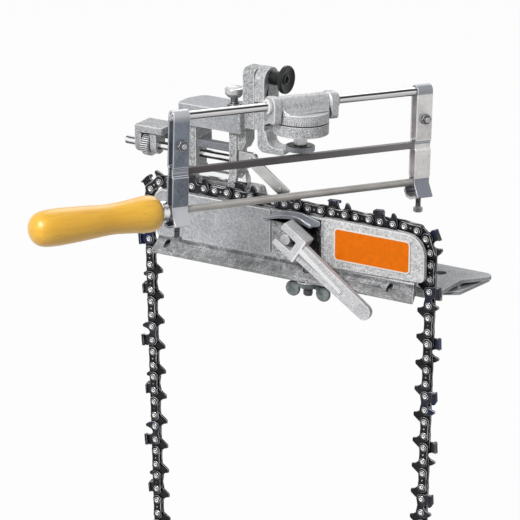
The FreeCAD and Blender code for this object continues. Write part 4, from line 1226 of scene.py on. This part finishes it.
strapSet = {
    "endRadius": 3.95,
    "endAngle": 62,         # each side of the strap's own line
    "endSteps": 6,
    "waist": 3.1,
    "edge": 0.36,
    "dot": [(outer - 0.3, 0.0), (outer - 0.3, 0.75), (outer + 0.04, 0.6), (outer + 0.04, 0.0)],
}


def strapMesh(sides):
    # waisted plate with a round end about each rivet, and a small bright punch mark at its middle
    outline = []
    for end in (1, -1):
        for step in range(strapSet["endSteps"] + 1):
            angle = math.radians(strapSet["endAngle"] * (2 * step / strapSet["endSteps"] - 1))
            outline.append((end * (half + strapSet["endRadius"] * math.cos(angle)),
                            end * strapSet["endRadius"] * math.sin(angle)))
        outline.append((0, end * strapSet["waist"]))
    dots = [turned([(side * x, radius) for x, radius in strapSet["dot"][::side]], 8, sideways, (0, 1, 2))
            for side in sides]
    return joined([sidePlate(outline, side, strapSet["edge"]) for side in sides] + dots)


def driveMesh():
    # centre link with its hooked tang that runs in the rail's groove
    outline = [(-8.0, 1.8), (-6.6, 3.6), (-shortHalf, 4.1), (shortHalf, 4.1), (6.6, 3.6), (8.0, 1.8),
               (8.2, 0), (7.8, -2.2), (5.2, -4.6), (3.2, -7.4), (1.6, -9.5), (-0.9, -9.5), (-1.6, -7.0),
               (-3.2, -4.8), (-6.0, -3.4), (-7.8, -2.0), (-8.2, 0)]
    return rounded(plate(outline, -chainSet["plate"] / 2, chainSet["plate"] / 2), 0.18, 1)


cutterSet = {
    "top": 8.6,
    "rise": 0.5,            # the top plate falls away to the rear
    "slant": 0.42,          # of its cutting edge
    "span": (-half - 4.4, -0.9),
    "reach": 4.2,
    "overhang": -0.4,
}


def cutterMesh(side):
    # side plate with gullet and depth gauge, and a top plate bent over with a slanted cutting edge
    top, reach, overhang = cutterSet["top"], cutterSet["reach"], cutterSet["overhang"]
    body = [(-half - 2.6, -3.0), (-half - 3.8, 0), (-half - 3.6, 2.4), (-half - 4.6, 4.2),
            (-half - 4.2, top - 1.3), (-1.2, top - 0.7), (-1.8, 6.6), (-1.7, 5.0), (-0.9, 3.0),
            (0.4, 2.0), (1.7, 2.1), (2.9, 3.2), (3.6, 5.0), (4.3, top - 0.9), (6.0, top - 0.8),
            (7.6, 5.6), (half + 3.7, 2.4), (half + 3.9, 0), (half + 2.6, -3.0), (half, -4.1),
            (half - 2, -3.7), (0, -3.1), (-half + 2, -3.7), (-half, -4.1)]
    section = [(reach, -2.4), (reach, -0.9), (reach - 0.5, -0.25), (reach - 1.3, 0.0), (overhang, 0.0),
               (overhang, -1.1), (reach - 1.5, -1.1), (reach - 1.5, -2.4)]
    back, front = cutterSet["span"]
    rear = [point(back, side * y, top + z - cutterSet["rise"]) for y, z in section]
    edge = [point(front - (reach - y) * cutterSet["slant"], side * y, top + z) for y, z in section]
    tooth = prism(rear, edge)
    return joined([sidePlate(body, side, 0.2), rounded(tooth, 0.12, 1)])


def rivetMesh():
    # a spun rivet: a rim rolled over a dark hollow, proud of the straps; the rim's bands are marked to be
    # painted bright, partly as wear and partly as a painted highlight
    reach = chainSet["rivetHalf"]
    head = [(reach - drop, share * chainSet["rivetRadius"])
            for drop, share in ((0.6, 0.0), (0.5, 0.22), (0.1, 0.5), (0.0, 0.62), (0.12, 0.7),
                                (0.5, 0.78), (0.42, 1.0), (0.6, 1.1))]
    steps = [(-x, radius) for x, radius in head] + head[::-1]
    bright = (1, 2, 3, 6)
    return turned(steps, 14, sideways, bright + tuple(len(steps) - 2 - band for band in bright))


tree = linkTree()
line = chainLine()
step = 2 * chainSet["pitch"]
shortReach, longReach = 2 * shortHalf, 2 * half
firstLong = chainSet["phase"] + shortReach
driveLinks, quarterCount = chainSet["driveLinks"], chainSet["driveLinks"] // 4

chainPieces = {
    # piece: finish, slot, node, and rows of (link, count, first, step, reach)
    "chainDriveLinks": ("chainSteel", "chain_steel", "drive_links", [
        (driveMesh(), driveLinks, chainSet["phase"], step, shortReach)]),
    "chainStraps": ("chainSteel", "chain_steel", "tie_straps", [
        (strapMesh((-1, 1)), 2 * quarterCount, firstLong, 2 * step, longReach),
        (strapMesh((-1,)), quarterCount, firstLong + step, 4 * step, longReach),
        (strapMesh((1,)), quarterCount, firstLong + 3 * step, 4 * step, longReach)]),
    "leftCutters": ("cutterSteel", "cutter_steel", "left_cutters", [
        (cutterMesh(1), quarterCount, firstLong + step, 4 * step, longReach)]),
    "rightCutters": ("cutterSteel", "cutter_steel", "right_cutters", [
        (cutterMesh(-1), quarterCount, firstLong + 3 * step, 4 * step, longReach)]),
    "chainRivets": ("rivetSteel", "rivet_steel", "chain_rivets", [
        (rivetMesh(), driveLinks, chainSet["phase"] - shortReach / 2, step, shortReach),
        (rivetMesh(), driveLinks, chainSet["phase"] + shortReach / 2, step, shortReach)]),
}
for name, (finish, slotName, node, rows) in chainPieces.items():
    meshes = []
    for link, count, *distances in rows:
        sample = bpy.data.objects.new("linkSample", link)
        scene.collection.objects.link(sample)
        values = dict(zip(("First", "Step", "Reach"), metres(distances)))
        meshes.append(grown(tree, finish, line, Link=sample, Count=count, **values))
        bpy.data.objects.remove(sample)
    place(name, smoothed(joined(meshes), 45.0), finish, slotName, node)
print("chain laid")


# Studio: a pale floor, two soft lamps, and a camera at the photograph's angle

studioSet = {
    "aim": (-72.7, -35.5, 5.0),
    # degrees round and up, and metres away
    "camera": (31.85, 18.66, 2.5),
    "keyLamp": (-6, 38, 2.0),
    "backLamp": (200, 40, 2.4),
    "lampSizes": {"keyLamp": (0.8, 0.6), "backLamp": (1.2, 1.2)},
    "lampPower": {"keyLamp": 34, "backLamp": 11},
    "lens": 247.4,
    "floorHalf": 4.0,       # metres
    "floorDrop": 4.0,
    "floorShare": 0.97,
    "floorTone": 0.55,
    "ambient": 0.22,
}


def aimed(name, data, azimuth, elevation, distance):
    # an object that looks at the fixture from its distance
    a, e = math.radians(azimuth), math.radians(elevation)
    away = Vector((math.sin(a) * math.cos(e), -math.cos(a) * math.cos(e), math.sin(e)))
    holder = bpy.data.objects.new(name, data)
    holder.location = point(*studioSet["aim"]) + away * distance
    holder.rotation_euler = away.to_track_quat("Z", "Y").to_euler()
    scene.collection.objects.link(holder)
    return holder


def seenWhite(finish):
    # 1 for rays from the camera and for what metal and glass show
    path = finish.tree.nodes.new("ShaderNodeLightPath")
    camera, glossy, clear = (Wire(finish, path.outputs["Is " + ray + " Ray"])
                             for ray in ("Camera", "Glossy", "Transmission"))
    return finish.maths("MAXIMUM", finish.maths("MAXIMUM", camera, glossy), clear)


def paleFloor():
    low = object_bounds()[0][2] - studioSet["floorDrop"] * mm
    corners = [(-1, -1), (1, -1), (1, 1), (-1, 1)]
    mesh = bpy.data.meshes.new("studioFloor")
    mesh.from_pydata([(x * studioSet["floorHalf"], y * studioSet["floorHalf"], low) for x, y in corners],
                     [], [(0, 1, 2, 3)])
    finish = Finish("paleFloor")
    matt = finish.add("ShaderNodeBsdfDiffuse", None, {"Color": rgba(studioSet["floorTone"])})
    white = finish.add("ShaderNodeEmission", None, {"Color": rgba(1), "Strength": 1.0})
    finish.show(finish.add("ShaderNodeMixShader", None,
                           {0: seenWhite(finish) * studioSet["floorShare"], 1: matt, 2: white}))
    mesh.materials.append(finish.material)
    floor = bpy.data.objects.new("studioFloor", mesh)
    scene.collection.objects.link(floor)
    floor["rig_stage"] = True


def paleWorld():
    scene.world = bpy.data.worlds.new("paleWorld")
    finish = Finish("paleWorld", scene.world)
    strength = seenWhite(finish) * (1 - studioSet["ambient"]) + studioSet["ambient"]
    finish.show(finish.add("ShaderNodeBackground", None, {"Color": rgba(1), "Strength": strength}),
                "ShaderNodeOutputWorld")


paleFloor()
paleWorld()
for name in ("keyLamp", "backLamp"):
    light = bpy.data.lights.new(name, "AREA")
    light.shape = "RECTANGLE"
    light.size, light.size_y = studioSet["lampSizes"][name]
    light.energy = studioSet["lampPower"][name]
    aimed(name, light, *studioSet[name])

camera = bpy.data.cameras.new("photoCamera")
camera.lens = studioSet["lens"]
camera.sensor_width = 36
camera.clip_end = 50
scene.camera = aimed("photoCamera", camera, *studioSet["camera"])
scene.view_settings.view_transform = "Standard"

print("scene ready")
